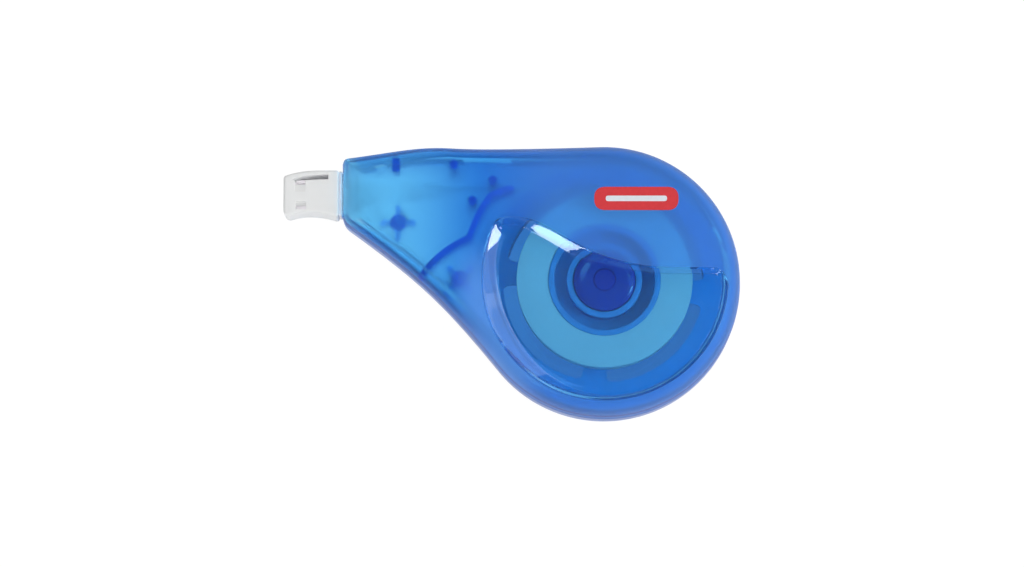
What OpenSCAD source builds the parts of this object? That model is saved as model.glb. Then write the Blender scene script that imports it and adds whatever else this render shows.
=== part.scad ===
// Pocket correction tape: two stacked reels in a teardrop casing, an applicator tip and a pull-off cap.
// Millimetres. The casing lies on its rear face, the reel axis is the Z axis, and the nose points to -X.

/* [Casing] */
// Radius of the round body about the reel axis
case_r = 26.8; // [25.6:0.1:30]
// Distance from the reel axis to the nose face
nose_reach = 51.6; // [48:0.2:60]
// Drop of the nose's upper corner below the top of the body
nose_fall = 2.2; // [1:0.1:3]
// Height of the nose from its lower to its upper corner
nose_h = 12.6; // [12.4:0.1:14]
// Corner radius at the top of the nose
nose_top_r = 1.2; // [0.5:0.1:2]
// Corner radius at the foot of the nose
nose_low_r = 3; // [1.5:0.1:3.4]
// Wall thickness of both shells
wall = 1.4; // [1.1:0.1:1.7]
// Share of the front height that is lost at the nose
nose_drop = 0.3; // [0.1:0.05:0.35]
// Width of the rounded front edge
front_edge_w = 3.6; // [2.5:0.1:4.2]
// Height of the rounded front edge
front_edge_h = 6.2; // [4:0.1:6.6]
// Lean of the front's side wall, from the joint up to its rounded edge
side_lean = 0.15; // [0:0.05:0.3]
// Radius of the rounded rear edge
rear_edge = 1.8; // [1:0.1:2.5]
// Height of the lip that locates one shell in the other
lip_h = 1; // [0.6:0.1:1.6]

/* [Window dish] */
// Depth of the dish below the shoulder
dish_depth = 1.7; // [1.2:0.1:2.2]
// Width of the rim that is left round the dish
rim_w = 2.8; // [2.4:0.1:4]
// Run of the dish's sloping wall
dish_slope = 1; // [0.6:0.1:1.6]
// Extra run of that wall at the lower left
dish_flare = 2.4; // [0:0.1:3]
// Extra run of that wall at the left of the swoosh
swoosh_flare = 1.2; // [0:0.1:1.6]
// Height of the upper left lobe above the reel axis
lobe_y = 11.9; // [11:0.1:13]
// Height of the low end of the swoosh above the reel axis
swoosh_y = 2; // [1.4:0.1:3]
// Corner radius of the dish
dish_corner = 2.6; // [2:0.1:3]

/* [Tape] */
// Width of the tape and of its liner
tape_w = 4.2; // [4:0.1:5]
// Thickness of the free tape and liner runs
strip_t = 0.12; // [0.08:0.01:0.16]
// Outer radius of the supply pack
pack_r = 17.25; // [14:0.25:17.5]
// Radius of the core that the tape is wound on
core_r = 11; // [10:0.1:12]
// Thickness of the used liner on the take-up drum
liner_t = 0.18; // [0.1:0.02:0.6]

/* [Reels] */
// Gap between the drum's flanges and the casing wall
reel_gap = 1.7; // [0.8:0.1:2.2]
// Width of the flanges beyond the drum
flange_w = 2.8; // [1.5:0.1:3.2]
// Thickness of the drum's flanges and web
flange_t = 0.7; // [0.5:0.05:0.9]
// Wall of the drum and of the supply core
core_wall = 1.1; // [0.8:0.1:1.4]
// Width of the arc slots in the drum's web
slot_w = 6.2; // [4:0.1:7]
// Angle that each arc slot spans
slot_span = 75; // [50:1:78]
// Number of arc slots
slot_count = 4; // [3:1:4]
// Turn of the arc slots about the reel axis
slot_turn = -6; // [-45:1:45]
// Thickness of the supply core's web
core_web = 0.8; // [0.5:0.1:1.2]
// Bore radius of the supply core's hub ring
hub_ring_r = 6.15; // [5.8:0.05:6.6]
// Wall of the supply core's hub ring
hub_ring_wall = 1.25; // [0.8:0.05:1.4]

/* [Hub] */
// Radius of the post that carries both reels
post_r = 2.6; // [2.4:0.05:2.8]
// Radius of the pin on top of the post
pin_r = 2.2; // [1.6:0.05:2.25]
// Wall of the take-up sleeve that turns on the post
sleeve_wall = 1.1; // [0.9:0.05:1.2]
// Radial running clearance on the post and under the clutch pads
run_gap = 0.06; // [0.03:0.01:0.09]
// Height of the domed hub cap
dome_h = 1.4; // [0.8:0.1:1.6]
// Number of spring arms in the clutch
arm_count = 3; // [2:1:4]

/* [Tip] */
// Drop of the tip's centre line below the nose's upper corner
tip_fall = 7.1; // [6.8:0.1:7.4]
// Width of the collar's bezel
collar_w = 8.8; // [8.2:0.1:9]
// Thickness of the collar's bezel
collar_t = 6; // [5.6:0.1:6.6]
// Length of the bezel outside the nose
bezel_l = 0.6; // [0.4:0.1:1.2]
// Length of the spigot that holds the cap
spigot_l = 2.2; // [1.5:0.1:3]
// Reach of the blade beyond the bezel
blade_l = 9.4; // [8:0.1:10]
// Thickness of the blade at the collar
blade_root = 1.5; // [1.2:0.1:1.8]
// Thickness of the blade at its edge
blade_edge = 0.7; // [0.5:0.1:1]
// Thickness of the cheeks beside the tape
cheek_t = 0.6; // [0.5:0.05:0.75]

/* [Cap] */
// Gap between the tape on the blade's edge and the cap's end wall
cap_end = 0.6; // [0.3:0.05:1.5]
// Gap between the tip's cheeks and the cap's sides
cap_room = 0.2; // [0.15:0.05:0.8]
// Extra height inside the cap above the cheeks
cap_head = 0.6; // [0.2:0.05:0.8]
// Thickness of the cap
cap_t = 7.6; // [7.4:0.1:8.6]
// Wall of the cap
cap_wall = 0.8; // [0.7:0.05:1]
// Rise of the cap's hollow lower edge between its corners
cap_sag = 1.1; // [0.8:0.1:1.3]
// Fall of the cap's upper edge towards its far end
cap_fall = 1.2; // [0.4:0.1:1.3]
// Width of the slots in the cap's face
cap_slot_w = 2.1; // [1:0.1:2.6]

/* [Hidden] */
$fn = 96;

// Small allowances: end play of the reels, room above them, draft of the walls, side play of the tape, still
// fits, least corner radius and overrun of cutters
end_play = 0.2;
ceiling_gap = 0.5;
draft = 0.1;
side_play = 0.1;
fit_gap = 0.03;
least_r = 0.3;
over = 0.5;

// Levels from the resting plane up
thrust_h = 0.4;
spool_z = wall + thrust_h + end_play / 2;
liner_z = spool_z + flange_t + side_play;
web_z = liner_z + tape_w + side_play;
supply_z = web_z + flange_t + end_play;
core_h = tape_w + 2 * end_play;
pack_z = supply_z + end_play;
ceiling_z = supply_z + core_h + ceiling_gap;
dish_z = ceiling_z + wall;
top_z = dish_z + dish_depth;
part_z = web_z + flange_t / 2;

// Radii of the reels
sleeve_in = post_r + run_gap;
sleeve_r = sleeve_in + sleeve_wall;
flange_r = case_r - wall - draft - reel_gap;
drum_r = flange_r - flange_w;

// Hub levels: the sleeve's top, the seat of the hub cap and the end of the pin
sleeve_top = supply_z + core_h - dome_h - end_play;
seat_z = sleeve_top + end_play / 2;
pin_proud = 0.1;
pin_top = seat_z + dome_h + pin_proud;

// Corners of the nose, and the tip's centre line
nose_x = -nose_reach;
nose_top = case_r - nose_fall;
nose_low = nose_top - nose_h;
tip_y = nose_top - tip_fall;

// Directions, in degrees, in which the outline leaves its joints
body_start = 92;
body_end = -141;
low_heading = 144;
top_heading = 7;
waist_dip = 0.2;
waist = [-30, case_r - waist_dip];
waist_heading = -4;
lower_pull = 17;
top_pull = 9;
waist_pull = 7;
crown = [-14, 8];
pocket_in = [1, 2];

// Places of the moulded features in the neck
boss_turn = [0, 45];
boss_arm = 3.4;
boss_t = 1;
boss_r = 1.6;
boss_post_r = 0.95;
boss_pin_r = 0.6;
boss_pin_h = 1.4;
rib_t = 1.2;
feature_z = part_z + lip_h + 2 * fit_gap;
rib_out = 0.9;
rib_r = case_r + rib_out;
rib_seat = 1.5;
bulb_in = 1.3;
bulb_turn = 135.8;
bulb = (case_r - bulb_in) * dir(bulb_turn);
guide_r = 0.9;
guide_at = [bulb + [-3.6, 1.8], bulb + [-7.6, -2.2], bulb + [-11.3, 5]];
wall_rib = [nose_x, nose_top] + [10.7, -3.3];
wall_rib_t = 1.5;

// Tip levels along X, from the nose outwards
bezel_x = nose_x - bezel_l;
spigot_x = bezel_x - spigot_l;
edge_x = bezel_x - blade_l;
bezel_step = 0.4;
neck_w = collar_w - 2 * bezel_step;
neck_t = collar_t - 2 * bezel_step;
clamp_in = 1;
clamp_l = 1.1;
clamp_x = nose_x + wall + draft;
clamp_w = neck_w - 2 * clamp_in;
clamp_t = 2 * (taper(clamp_x, ceiling_z) - part_z - end_play);
tip_end = clamp_x + clamp_l;
nib = blade_edge / 2;
passage_w = tape_w + 4 * side_play;
passage_h = 1.2;
strip_gap = 0.02;

// Liner's line: past the first boss's post on its lower side, then tangent to the wound drum
flat_run = 1;
flat_x = tip_end + flat_run;
boss_one = [nose_x, tip_y] + [11.1, -6];
pass_r = boss_post_r + side_play + strip_t / 2;
wind_r = drum_r + liner_t + side_play + strip_t / 2;
liner_heading = atan2(-boss_one.y, -boss_one.x) - asin((wind_r - pass_r) / norm(boss_one));
liner_left = dir(liner_heading + 90);
liner_pass = boss_one - pass_r * liner_left;
liner_meet = -wind_r * liner_left;

// The second boss stands beside that line
boss_share = 0.55;
boss_clear = 1.6;
boss_at = [boss_one, liner_meet + boss_share * (liner_pass - liner_meet) + boss_clear * liner_left];

// Inside of the cap, round the tip's cheeks and its blade, and its outside
cheek_y = passage_w / 2 + cheek_t;
cheek_low = 0.8;
cheek_x = edge_x + cheek_low;
cap_in_low = tip_y - cheek_y - cap_room;
cap_in_high = tip_y + cheek_y + cap_room + cap_head;
cap_in_t = cap_t - 2 * cap_wall;
cap_low = cap_in_low - cap_wall - cap_sag;
cap_high = cap_in_high + cap_wall;
cap_l = blade_l + strip_gap + strip_t + cap_end + cap_wall;
spigot_gap = 0.12;

// Unit vector at an angle
function dir(a) = [cos(a), sin(a)];

// The list without its first entry
function tail(list) = [for (i = [1:len(list) - 1]) list[i]];

// The list without its last entry
function front(list) = [for (i = [0:len(list) - 2]) list[i]];

// Cubic curve through p and s with handles q and r, in n steps
function curve(p, q, r, s, n) = [for (i = [0:n]) let (t = i / n, u = 1 - t)
    u * u * u * p + 3 * u * u * t * q + 3 * u * t * t * r + t * t * t * s];

// Cubic curve from p to s that leaves along heading a and arrives along heading b
function sweep(p, a, pull_a, s, b, pull_b, n) = curve(p, p + pull_a * dir(a), s - pull_b * dir(b), s, n);

// Clockwise round of radius r at corner v, between headings a and b
function corner(v, a, b, r, n) = let (c = v - r * tan((a - b) / 2) * dir(a) + r * dir(a - 90))
    [for (i = [0:n]) c + r * dir(a + 90 + (b - a) * i / n)];

// Casing outline, clockwise, drawn in by d all round
function outline(d) = let (
    top_r = max(nose_top_r - d, least_r),
    low_r = max(nose_low_r - d, least_r),
    inner = dir(low_heading - 90),
    top_v = [nose_x + d, nose_top - d],
    low_v = [nose_x + d, nose_low + d * (1 - inner.x) / inner.y],
    body = [for (i = [0:36]) (case_r - d) * dir(body_start + (body_end - body_start) * i / 36)],
    low = corner(low_v, low_heading, 90, low_r, 5),
    top = corner(top_v, 90, top_heading, top_r, 5),
    mid = waist - [0, d],
    flank = sweep(body[36], body_end - 90, lower_pull, low[0], low_heading, lower_pull, 12),
    brow = sweep(top[5], top_heading, top_pull, mid, waist_heading, waist_pull, 8),
    nape = sweep(mid, waist_heading, waist_pull, body[0], body_start - 90, waist_pull, 6))
    concat(body, tail(flank), tail(low), top, tail(brow), front(tail(nape)));

// Height above the parting plane, lowered towards the nose
function taper(x, z) = z <= part_z ? z
    : part_z + (z - part_z) * (1 - nose_drop * max(0, crown.x - x) / (crown.x + nose_reach));

// Ring of the casing at inset d and level z
function ring(d, z) = [for (p = outline(d)) [p.x, p.y, taper(p.x, z)]];

// Dish outline, clockwise: the rim's arc, the lobe's corner, the swoosh and the right corner
dish_r = case_r - rim_w;
lobe_turn = 156;
right_turn = 4;
swoosh_from = [-17.4, lobe_y];
swoosh_to = [14, swoosh_y];
swoosh_pull = [8.4, 20];
flare_turn = [203, 57];
flare_power = [3, 8];
flare_stop = 1;
flare_fade = 7;
function dish_outline() = let (
    rim = [for (i = [0:36]) dish_r * dir(-right_turn - (360 - lobe_turn - right_turn) * i / 36)],
    lobe = sweep(rim[36], lobe_turn - 90, dish_corner, swoosh_from, 0, dish_corner, 6),
    fall = sweep(swoosh_from, 0, swoosh_pull[0], swoosh_to, 0, swoosh_pull[1], 16),
    ledge = [dish_r - dish_corner, swoosh_y],
    turn = sweep(ledge, 0, dish_corner / 2, rim[0], -90 - right_turn, dish_corner / 2, 6))
    concat(rim, tail(lobe), tail(fall), front(turn));

// Dish floor: the outline drawn in by the wall's run, longest at the lower left and at the swoosh's left
function dish_floor(list) = [for (i = [0:len(list) - 1]) let (
    n = normal(list, i),
    fade = min(1, max(0, (flare_stop - list[i].x) / flare_fade)),
    lean = [for (k = [0, 1]) pow(max(0, n * dir(flare_turn[k])), flare_power[k])])
    list[i] - (dish_slope + dish_flare * lean[0] + swoosh_flare * lean[1] * fade) * n];

// Outward unit normal at point i of a clockwise outline
function normal(list, i) = let (n = len(list), e = list[(i + 1) % n] - list[(i + n - 1) % n])
    [-e.y, e.x] / norm(e);

// Outline moved outwards by d along its own normals
function grown(list, d) = [for (i = [0:len(list) - 1]) list[i] + d * normal(list, i)];

// Flat outline lifted to level z
function lifted(list, z) = [for (p = list) [p.x, p.y, z]];

// Solid through clockwise rings from the lowest to the highest, closed by fans at two centres
module loft(rings, low, high) {
    n = len(rings[0]);
    m = len(rings);
    points = concat([for (r = rings) each r], [low, high]);
    sides = [for (k = [0:m - 2]) for (i = [0:n - 1]) let (j = (i + 1) % n)
        each [[k * n + i, k * n + j, (k + 1) * n + j], [k * n + i, (k + 1) * n + j, (k + 1) * n + i]]];
    floor = [for (i = [0:n - 1]) [n * m, (i + 1) % n, i]];
    roof = [for (i = [0:n - 1]) [n * m + 1, (m - 1) * n + i, (m - 1) * n + (i + 1) % n]];
    polyhedron(points, concat(sides, floor, roof));
}

// Block from x0 to x1 and from y0 to y1, of thickness t about the parting plane
module level_block(x0, x1, y0, y1, t) {
    translate([x0, y0, part_z - t / 2]) cube([x1 - x0, y1 - y0, t]);
}

// Block of the given size, centred on the tip's axis, from x0 to x1
module tip_block(x0, x1, w, t) {
    level_block(x0, x1, tip_y - w / 2, tip_y + w / 2, t);
}

// Casing lofted between two insets and levels
module casing_loft(rings) {
    first = rings[0];
    last = rings[len(rings) - 1];
    loft([for (r = rings) ring(r[0], r[1])],
         [crown.x, crown.y, taper(crown.x, first[1])], [crown.x, crown.y, taper(crown.x, last[1])]);
}

// Mouth in the nose for the collar's neck
module nose_mouth() {
    tip_block(nose_x - over, tip_end + fit_gap, neck_w + 2 * fit_gap, neck_t + 2 * fit_gap);
}

// Rear half of the casing, with the post, guide pins and the lip
module rear_shell() {
    edge = [for (i = [0:3]) [rear_edge * (1 - sin(30 * i)), rear_edge * (1 - cos(30 * i))]];
    color("royalblue") difference() {
        union() {
            difference() {
                casing_loft(concat(edge, [[0, part_z]]));
                translate([0, 0, wall]) linear_extrude(part_z) polygon(outline(wall));
            }
            translate([0, 0, part_z - over]) linear_extrude(lip_h + over) difference() {
                polygon(outline(wall / 2 + fit_gap));
                polygon(outline(wall));
            }
            reel_post();
            guide_pins();
        }
        nose_mouth();
    }
}

// Stepped post for both reels, standing on a thrust ring
module reel_post() {
    cylinder(h = wall + thrust_h, r = sleeve_r);
    cylinder(h = seat_z, r = post_r);
    cylinder(h = pin_top, r = pin_r);
}

// Tape guides, and the posts that stand under the front shell's bosses
module guide_pins() {
    for (p = guide_at) translate([p.x, p.y, wall / 2])
        cylinder(h = taper(p.x, ceiling_z) - wall / 2 - end_play, r = guide_r, $fn = 32);
    for (p = boss_at) translate([p.x, p.y, wall / 2]) {
        cylinder(h = feature_z - wall / 2, r = boss_post_r, $fn = 32);
        cylinder(h = feature_z + boss_pin_h - wall / 2, r = boss_pin_r, $fn = 32);
    }
}

// Front half of the casing: rounded edge, recessed window dish, hollow shoulder and neck features
module front_shell() {
    edge = [for (i = [0:5]) [front_edge_w - (front_edge_w - side_lean) * cos(18 * i),
        top_z - front_edge_h * (1 - sin(18 * i))]];
    color("dodgerblue") difference() {
        union() {
            difference() {
                casing_loft(concat([[0, part_z]], edge));
                window_dish();
                casing_loft([[wall, part_z - over], [wall, part_z], [wall + draft, ceiling_z]]);
                shoulder_pocket();
                translate([0, 0, part_z - over]) linear_extrude(lip_h + over + fit_gap)
                    polygon(outline(wall / 2));
            }
            neck_features();
        }
        for (p = boss_at) translate([p.x, p.y, feature_z - over])
            cylinder(h = boss_pin_h + over + side_play, r = boss_pin_r + fit_gap, $fn = 32);
        nose_mouth();
    }
}

// Cutter of the window dish, widening from its floor to the shoulder
module window_dish() {
    rim = dish_outline();
    middle = [-3, -8];
    loft([lifted(dish_floor(rim), dish_z), lifted(rim, top_z), lifted(rim, top_z + over)],
         [middle.x, middle.y, dish_z], [middle.x, middle.y, top_z + over]);
}

// Hollow under the raised shoulder and neck, up to the dish's wall
module shoulder_pocket() {
    difference() {
        casing_loft([[wall + pocket_in[0], ceiling_z - over],
                     [wall + pocket_in[1], ceiling_z + dish_depth]]);
        translate([0, 0, ceiling_z - 2 * over]) linear_extrude(dish_depth + 3 * over)
            polygon(grown(dish_outline(), wall));
    }
}

// Cruciform bosses, curved guide rib and wall rib that hang from the front of the neck
module neck_features() {
    intersection() {
        translate([0, 0, feature_z]) linear_extrude(top_z) {
            for (i = [0:len(boss_at) - 1]) translate(boss_at[i]) rotate(boss_turn[i]) cross_shape();
            guide_rib_shape();
            translate(wall_rib - [wall_rib_t / 2, 0]) square([wall_rib_t, case_r - wall_rib.y]);
        }
        casing_loft([[wall / 2, feature_z - over], [wall + rib_seat, ceiling_z + dish_depth + wall / 3]]);
    }
}

// Cross-section of a boss
module cross_shape() {
    square([2 * boss_arm, boss_t], center = true);
    square([boss_t, 2 * boss_arm], center = true);
    circle(boss_r, $fn = 32);
}

// Curved rib from the lower wall up to a cusp, then round the reel to a bulb that guides the tape
module guide_rib_shape() {
    cusp_turn = 163;
    shelf_turn = 145;
    cusp = rib_r * dir(cusp_turn);
    shelf = rib_r * dir(shelf_turn);
    foot = cusp - [10.3, 8.7];
    lower = sweep(foot, 52, 4, cusp, 22, 5, 8);
    round_reel = [for (i = [0:6]) rib_r * dir(cusp_turn + (shelf_turn - cusp_turn) * i / 6)];
    hook = sweep(shelf, shelf_turn - 90, 1.2, bulb, 10, 1.6, 5);
    thick_line(lower);
    thick_line(concat(round_reel, tail(hook)));
}

// Band of the rib's thickness along a line of points, with round joints
module thick_line(line) {
    side = [for (i = [0:len(line) - 1]) let (
        e = line[min(i + 1, len(line) - 1)] - line[max(i - 1, 0)]) [-e.y, e.x] * rib_t / 2 / norm(e)];
    left = [for (i = [0:len(line) - 1]) line[i] + side[i]];
    right = [for (i = [len(line) - 1:-1:0]) line[i] - side[i]];
    polygon(concat(left, right));
    for (p = [line[0], line[len(line) - 1]]) translate(p) circle(rib_t / 2, $fn = 32);
}

// Domed retainer on the pin of the post
module hub_cap() {
    dome_r = hub_ring_r - side_play;
    rim_h = dome_h / 3;
    arc = [for (i = [0:8]) let (x = pin_r + fit_gap + (dome_r - pin_r - fit_gap) * i / 8)
        [x, rim_h + (dome_h - rim_h) * sqrt(1 - pow((x - pin_r - fit_gap) / (dome_r - pin_r), 2))]];
    color("midnightblue") translate([0, 0, seat_z]) rotate_extrude()
        polygon(concat([[dome_r, 0], [pin_r + fit_gap, 0]], arc));
}

// Blade with cheeks, spigot for the cap, bezel, neck and the clamp inside the nose
module applicator_tip() {
    color("gainsboro") difference() {
        union() {
            tip_block(bezel_x, nose_x, collar_w, collar_t);
            tip_block(nose_x - fit_gap, tip_end, neck_w, neck_t);
            tip_block(clamp_x + fit_gap, tip_end, clamp_w, clamp_t);
            level_block(spigot_x, bezel_x + fit_gap, cap_in_low + spigot_gap, cap_in_high - spigot_gap,
                        cap_in_t - 2 * spigot_gap);
            blade();
            cheeks();
        }
        tape_passages();
    }
}

// Half thickness of the blade at x, from its root at the collar to its edge
function blade_half(x) = let (f = (tip_end - x) / (tip_end - edge_x - nib))
    (blade_root + (blade_edge - blade_root) * f) / 2;

// Tapered blade with a round edge
module blade() {
    arc = [for (i = [0:6]) [edge_x + nib - nib * cos(90 - 30 * i), nib * sin(90 - 30 * i)]];
    translate([0, tip_y + passage_w / 2 + cheek_t / 2, part_z]) rotate([90, 0, 0])
        linear_extrude(passage_w + cheek_t)
            polygon(concat([[tip_end, blade_root / 2]], arc, [[tip_end, -blade_root / 2]]));
}

// Tapered cheeks that keep the tape on the blade
module cheeks() {
    tall = cap_in_t / 2 - spigot_gap;
    root_x = spigot_x + fit_gap;
    shape = [[root_x, -tall], [root_x, tall], [cheek_x, cheek_low], [cheek_x, -cheek_low]];
    for (s = [-1, 1]) translate([0, tip_y + s * (passage_w + cheek_t) / 2 + cheek_t / 2, part_z])
        rotate([90, 0, 0]) linear_extrude(cheek_t) polygon(shape);
}

// Passages for the tape above the blade and for the liner below it
module tape_passages() {
    x0 = spigot_x - over;
    x1 = tip_end + over;
    profile = [[x1, blade_half(x1)], [x1, blade_half(tip_end) + passage_h],
               [x0, blade_half(spigot_x) + passage_h], [x0, blade_half(x0)]];
    translate([0, tip_y + passage_w / 2, part_z]) rotate([90, 0, 0]) linear_extrude(passage_w) {
        polygon(profile);
        mirror([0, 1]) polygon(profile);
    }
}

// One station of a ribbon: its middle, the direction of its width and its normal
function station(c, w, n) = let (half_w = w * tape_w / 2, half_t = n * strip_t / 2)
    [c + half_w + half_t, c - half_w + half_t, c - half_w - half_t, c + half_w - half_t];

// Station at c on a path of heading h whose width is turned by angle a from upright to flat
function turned(c, h, a) = let (s = dir(h + 90))
    station(c, [s.x * sin(a), s.y * sin(a), cos(a)], [s.x * cos(a), s.y * cos(a), -sin(a)]);

// Ribbon through its stations
module ribbon(stations) {
    last = stations[len(stations) - 1];
    first = stations[0];
    loft(stations, (first[0] + first[2]) / 2, (last[0] + last[2]) / 2);
}

// Smooth step from 0 to 1
function ease(t) = let (c = min(1, max(0, t))) c * c * (3 - 2 * c);

// Middle of the strip beside the blade at x, on the upper or the lower side
function on_blade(x, side) = [x, tip_y, part_z + side * (blade_half(x) + strip_gap + strip_t / 2)];

// Quarter turns of the strip round the blade's edge, from the side given to the foremost point
nib_r = nib + strip_gap + strip_t / 2;
function round_edge(side) = [for (i = [1:5]) let (a = 18 * i)
    station([edge_x + nib - nib_r * sin(a), tip_y, part_z + side * nib_r * cos(a)],
            [0, 1, 0], [-sin(a), 0, side * cos(a)])];

// Coated tape: tangent to the supply pack, over the rib's bulb, turned flat and out along the blade
module tape_run() {
    leave_r = pack_r + side_play + strip_t / 2;
    over_bulb = bulb + [0, rib_t / 2 + side_play + strip_t / 2];
    leave_a = atan2(over_bulb.y, over_bulb.x) - acos(leave_r / norm(over_bulb));
    leave = leave_r * dir(leave_a);
    tape_z = pack_z + tape_w / 2;
    flat = on_blade(tip_end, 1);
    bends = [for (i = [0:14]) let (t = i / 14, x = over_bulb.x + (flat_x - over_bulb.x) * t)
        turned([x, over_bulb.y + (tip_y - over_bulb.y) * ease(t), tape_z + (flat.z - tape_z) * ease(t)],
               180, -90 * ease((t - 0.2) / 0.8))];
    blade_top = [for (x = [tip_end, (tip_end + edge_x) / 2, edge_x + nib])
        station(on_blade(x, 1), [0, 1, 0], [0, 0, 1])];
    color("white") ribbon(concat([turned([leave.x, leave.y, tape_z], leave_a + 90, 0)],
                                 bends, blade_top, round_edge(1)));
}

// Bare liner: back under the blade, turned upright on its way to the first boss and tangent to the drum
module liner_run() {
    line_z = liner_z + tape_w / 2;
    flat = on_blade(tip_end, -1);
    leave = [flat_x, tip_y];
    turn_l = norm(liner_pass - leave);
    path = sweep(leave, liner_heading, turn_l / 3, liner_pass, liner_heading, turn_l / 3, 12);
    bends = [for (i = [0:12]) let (t = i / 12)
        turned([path[i].x, path[i].y, flat.z + (line_z - flat.z) * ease(t)],
               liner_heading, 90 - 90 * ease(t))];
    wound = turned([liner_meet.x, liner_meet.y, line_z], liner_heading, 0);
    under = [for (x = [edge_x + nib, (tip_end + edge_x) / 2, tip_end])
        station(on_blade(x, -1), [0, 1, 0], [0, 0, -1])];
    edge = round_edge(-1);
    color("wheat") ribbon(concat([for (i = [4:-1:0]) edge[i]], under, bends, [wound]));
}

// Core of the tape reel: wall, low web, keyed hub ring and the ledge under the clutch
module supply_core() {
    ring_drop = 1.2;
    ring_h = core_h - ring_drop;
    color("steelblue") translate([0, 0, supply_z]) difference() {
        rotate_extrude() union() {
            translate([core_r - core_wall, 0]) square([core_wall, core_h]);
            translate([hub_ring_r, 0]) square([hub_ring_wall, ring_h]);
            translate([hub_ring_r - ledge_w, 0]) square([ledge_w + hub_ring_wall, ledge_t]);
            translate([hub_ring_r, 0]) square([core_r - core_wall / 2 - hub_ring_r, core_web]);
        }
        translate([0, 0, ledge_t]) linear_extrude(core_h) key_shape(fit_gap);
    }
}

// Ledge and keys that hold the clutch in the supply core
ledge_w = 0.9;
ledge_t = 0.35;
key_l = 0.5;
key_span = 16;
module key_shape(gap) {
    reach = hub_ring_r + key_l + gap;
    for (i = [0:arm_count - 1]) rotate(i * 360 / arm_count) intersection() {
        circle(reach);
        polygon([[0, 0], 2 * reach * dir(-key_span / 2 - gap), 2 * reach * dir(key_span / 2 + gap)]);
    }
}

// Wound pack of correction tape
module supply_tape() {
    color("white") translate([0, 0, pack_z]) difference() {
        cylinder(h = tape_w, r = pack_r);
        translate([0, 0, -over]) cylinder(h = tape_w + 2 * over, r = core_r);
    }
}

// Slip clutch: a keyed ring with spring arms that rub on the take-up sleeve
module clutch_ring() {
    clutch_h = seat_z - supply_z - ledge_t - end_play;
    body_in = hub_ring_r - ledge_w;
    pad_in = sleeve_r + run_gap;
    pad_t = 0.6;
    pad_span = 80;
    color("lightslategray") translate([0, 0, supply_z + ledge_t]) linear_extrude(clutch_h) {
        difference() {
            union() {
                circle(hub_ring_r - fit_gap);
                key_shape(0);
            }
            circle(body_in);
        }
        for (i = [0:arm_count - 1]) rotate(i * 360 / arm_count) {
            sector_band(pad_in, pad_in + pad_t, 0, pad_span);
            sector_band(pad_in, body_in + fit_gap, 0, key_span);
        }
    }
}

// Band between two radii and two angles
module sector_band(r0, r1, a0, a1) {
    intersection() {
        difference() {
            circle(r1);
            circle(r0);
        }
        polygon([[0, 0], 2 * r1 * dir(a0), 2 * r1 * dir((a0 + a1) / 2), 2 * r1 * dir(a1)]);
    }
}

// Take-up drum: sleeve on the post, slotted web, drum wall and two flanges
module take_up_spool() {
    drum_h = web_z - spool_z;
    pitch = 360 / slot_count;
    slot_round = 1.2;
    slot_out_r = drum_r - core_wall;
    round_span = asin(slot_round / slot_out_r);
    color("mediumblue") translate([0, 0, spool_z]) difference() {
        rotate_extrude() union() {
            translate([sleeve_in, 0]) square([sleeve_wall, sleeve_top - spool_z]);
            translate([drum_r - core_wall, 0]) square([core_wall, drum_h + flange_t]);
            translate([drum_r - core_wall, 0]) square([core_wall + flange_w, flange_t]);
            translate([sleeve_in, drum_h]) square([flange_r - sleeve_in, flange_t]);
        }
        for (i = [0:slot_count - 1]) rotate(slot_turn + i * pitch + (pitch - slot_span) / 2)
            translate([0, 0, drum_h - over]) linear_extrude(flange_t + 2 * over)
                offset(slot_round, $fn = 24)
                    sector_band(slot_out_r - slot_w + slot_round, slot_out_r - slot_round,
                                round_span, slot_span - round_span);
    }
}

// Used liner wound on the drum
module take_up_liner() {
    color("wheat") translate([0, 0, liner_z]) difference() {
        cylinder(h = tape_w, r = drum_r + liner_t);
        translate([0, 0, -over]) cylinder(h = tape_w + 2 * over, r = drum_r);
    }
}

// Pull-off cap with a falling upper edge, a hollow lower edge and slots in its face
module tip_cap() {
    soft = 0.5;
    rim = cap_outline();
    low = part_z - cap_t / 2;
    levels = [for (i = [0:3]) [-soft * (1 - sin(30 * i)), soft * (1 - cos(30 * i))]];
    below = [for (l = levels) lifted(grown(rim, l[0]), low + l[1])];
    above = [for (i = [3:-1:0]) lifted(grown(rim, levels[i][0]), low + cap_t - levels[i][1])];
    mid = [bezel_x - cap_l / 2, (cap_low + cap_high) / 2];
    color("whitesmoke") difference() {
        loft(concat(below, above), [mid.x, mid.y, low], [mid.x, mid.y, low + cap_t]);
        cap_inside();
        cap_slots();
    }
}

// Cap outline, clockwise from the collar's top corner; its lower edge bows in by the sag
function cap_outline() = let (
    x0 = bezel_x - cap_l,
    x1 = bezel_x - fit_gap,
    near_r = 0.6,
    far_r = 1.1,
    rise = 20,
    crest = 20,
    corner_rise = (near_r + far_r) / 2 * tan(45 + rise / 2) * sin(rise),
    pull = (cap_sag - corner_rise) / (0.75 * sin(rise)),
    near = corner([x1, cap_high], 0, -90, near_r, 4),
    right = corner([x1, cap_low], -90, -180 - rise, near_r, 4),
    left = corner([x0, cap_low], 180 + rise, 90, far_r, 4),
    foot = sweep(right[4], 180 - rise, pull, left[0], 180 + rise, pull, 8),
    far = corner([x0, cap_high - cap_fall], 90, crest, near_r, 4),
    top = sweep(far[4], crest, cap_l / 3, near[0], 0, cap_l / 3, 8))
    concat(near, right, tail(foot), tail(left), far, front(tail(top)));

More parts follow.
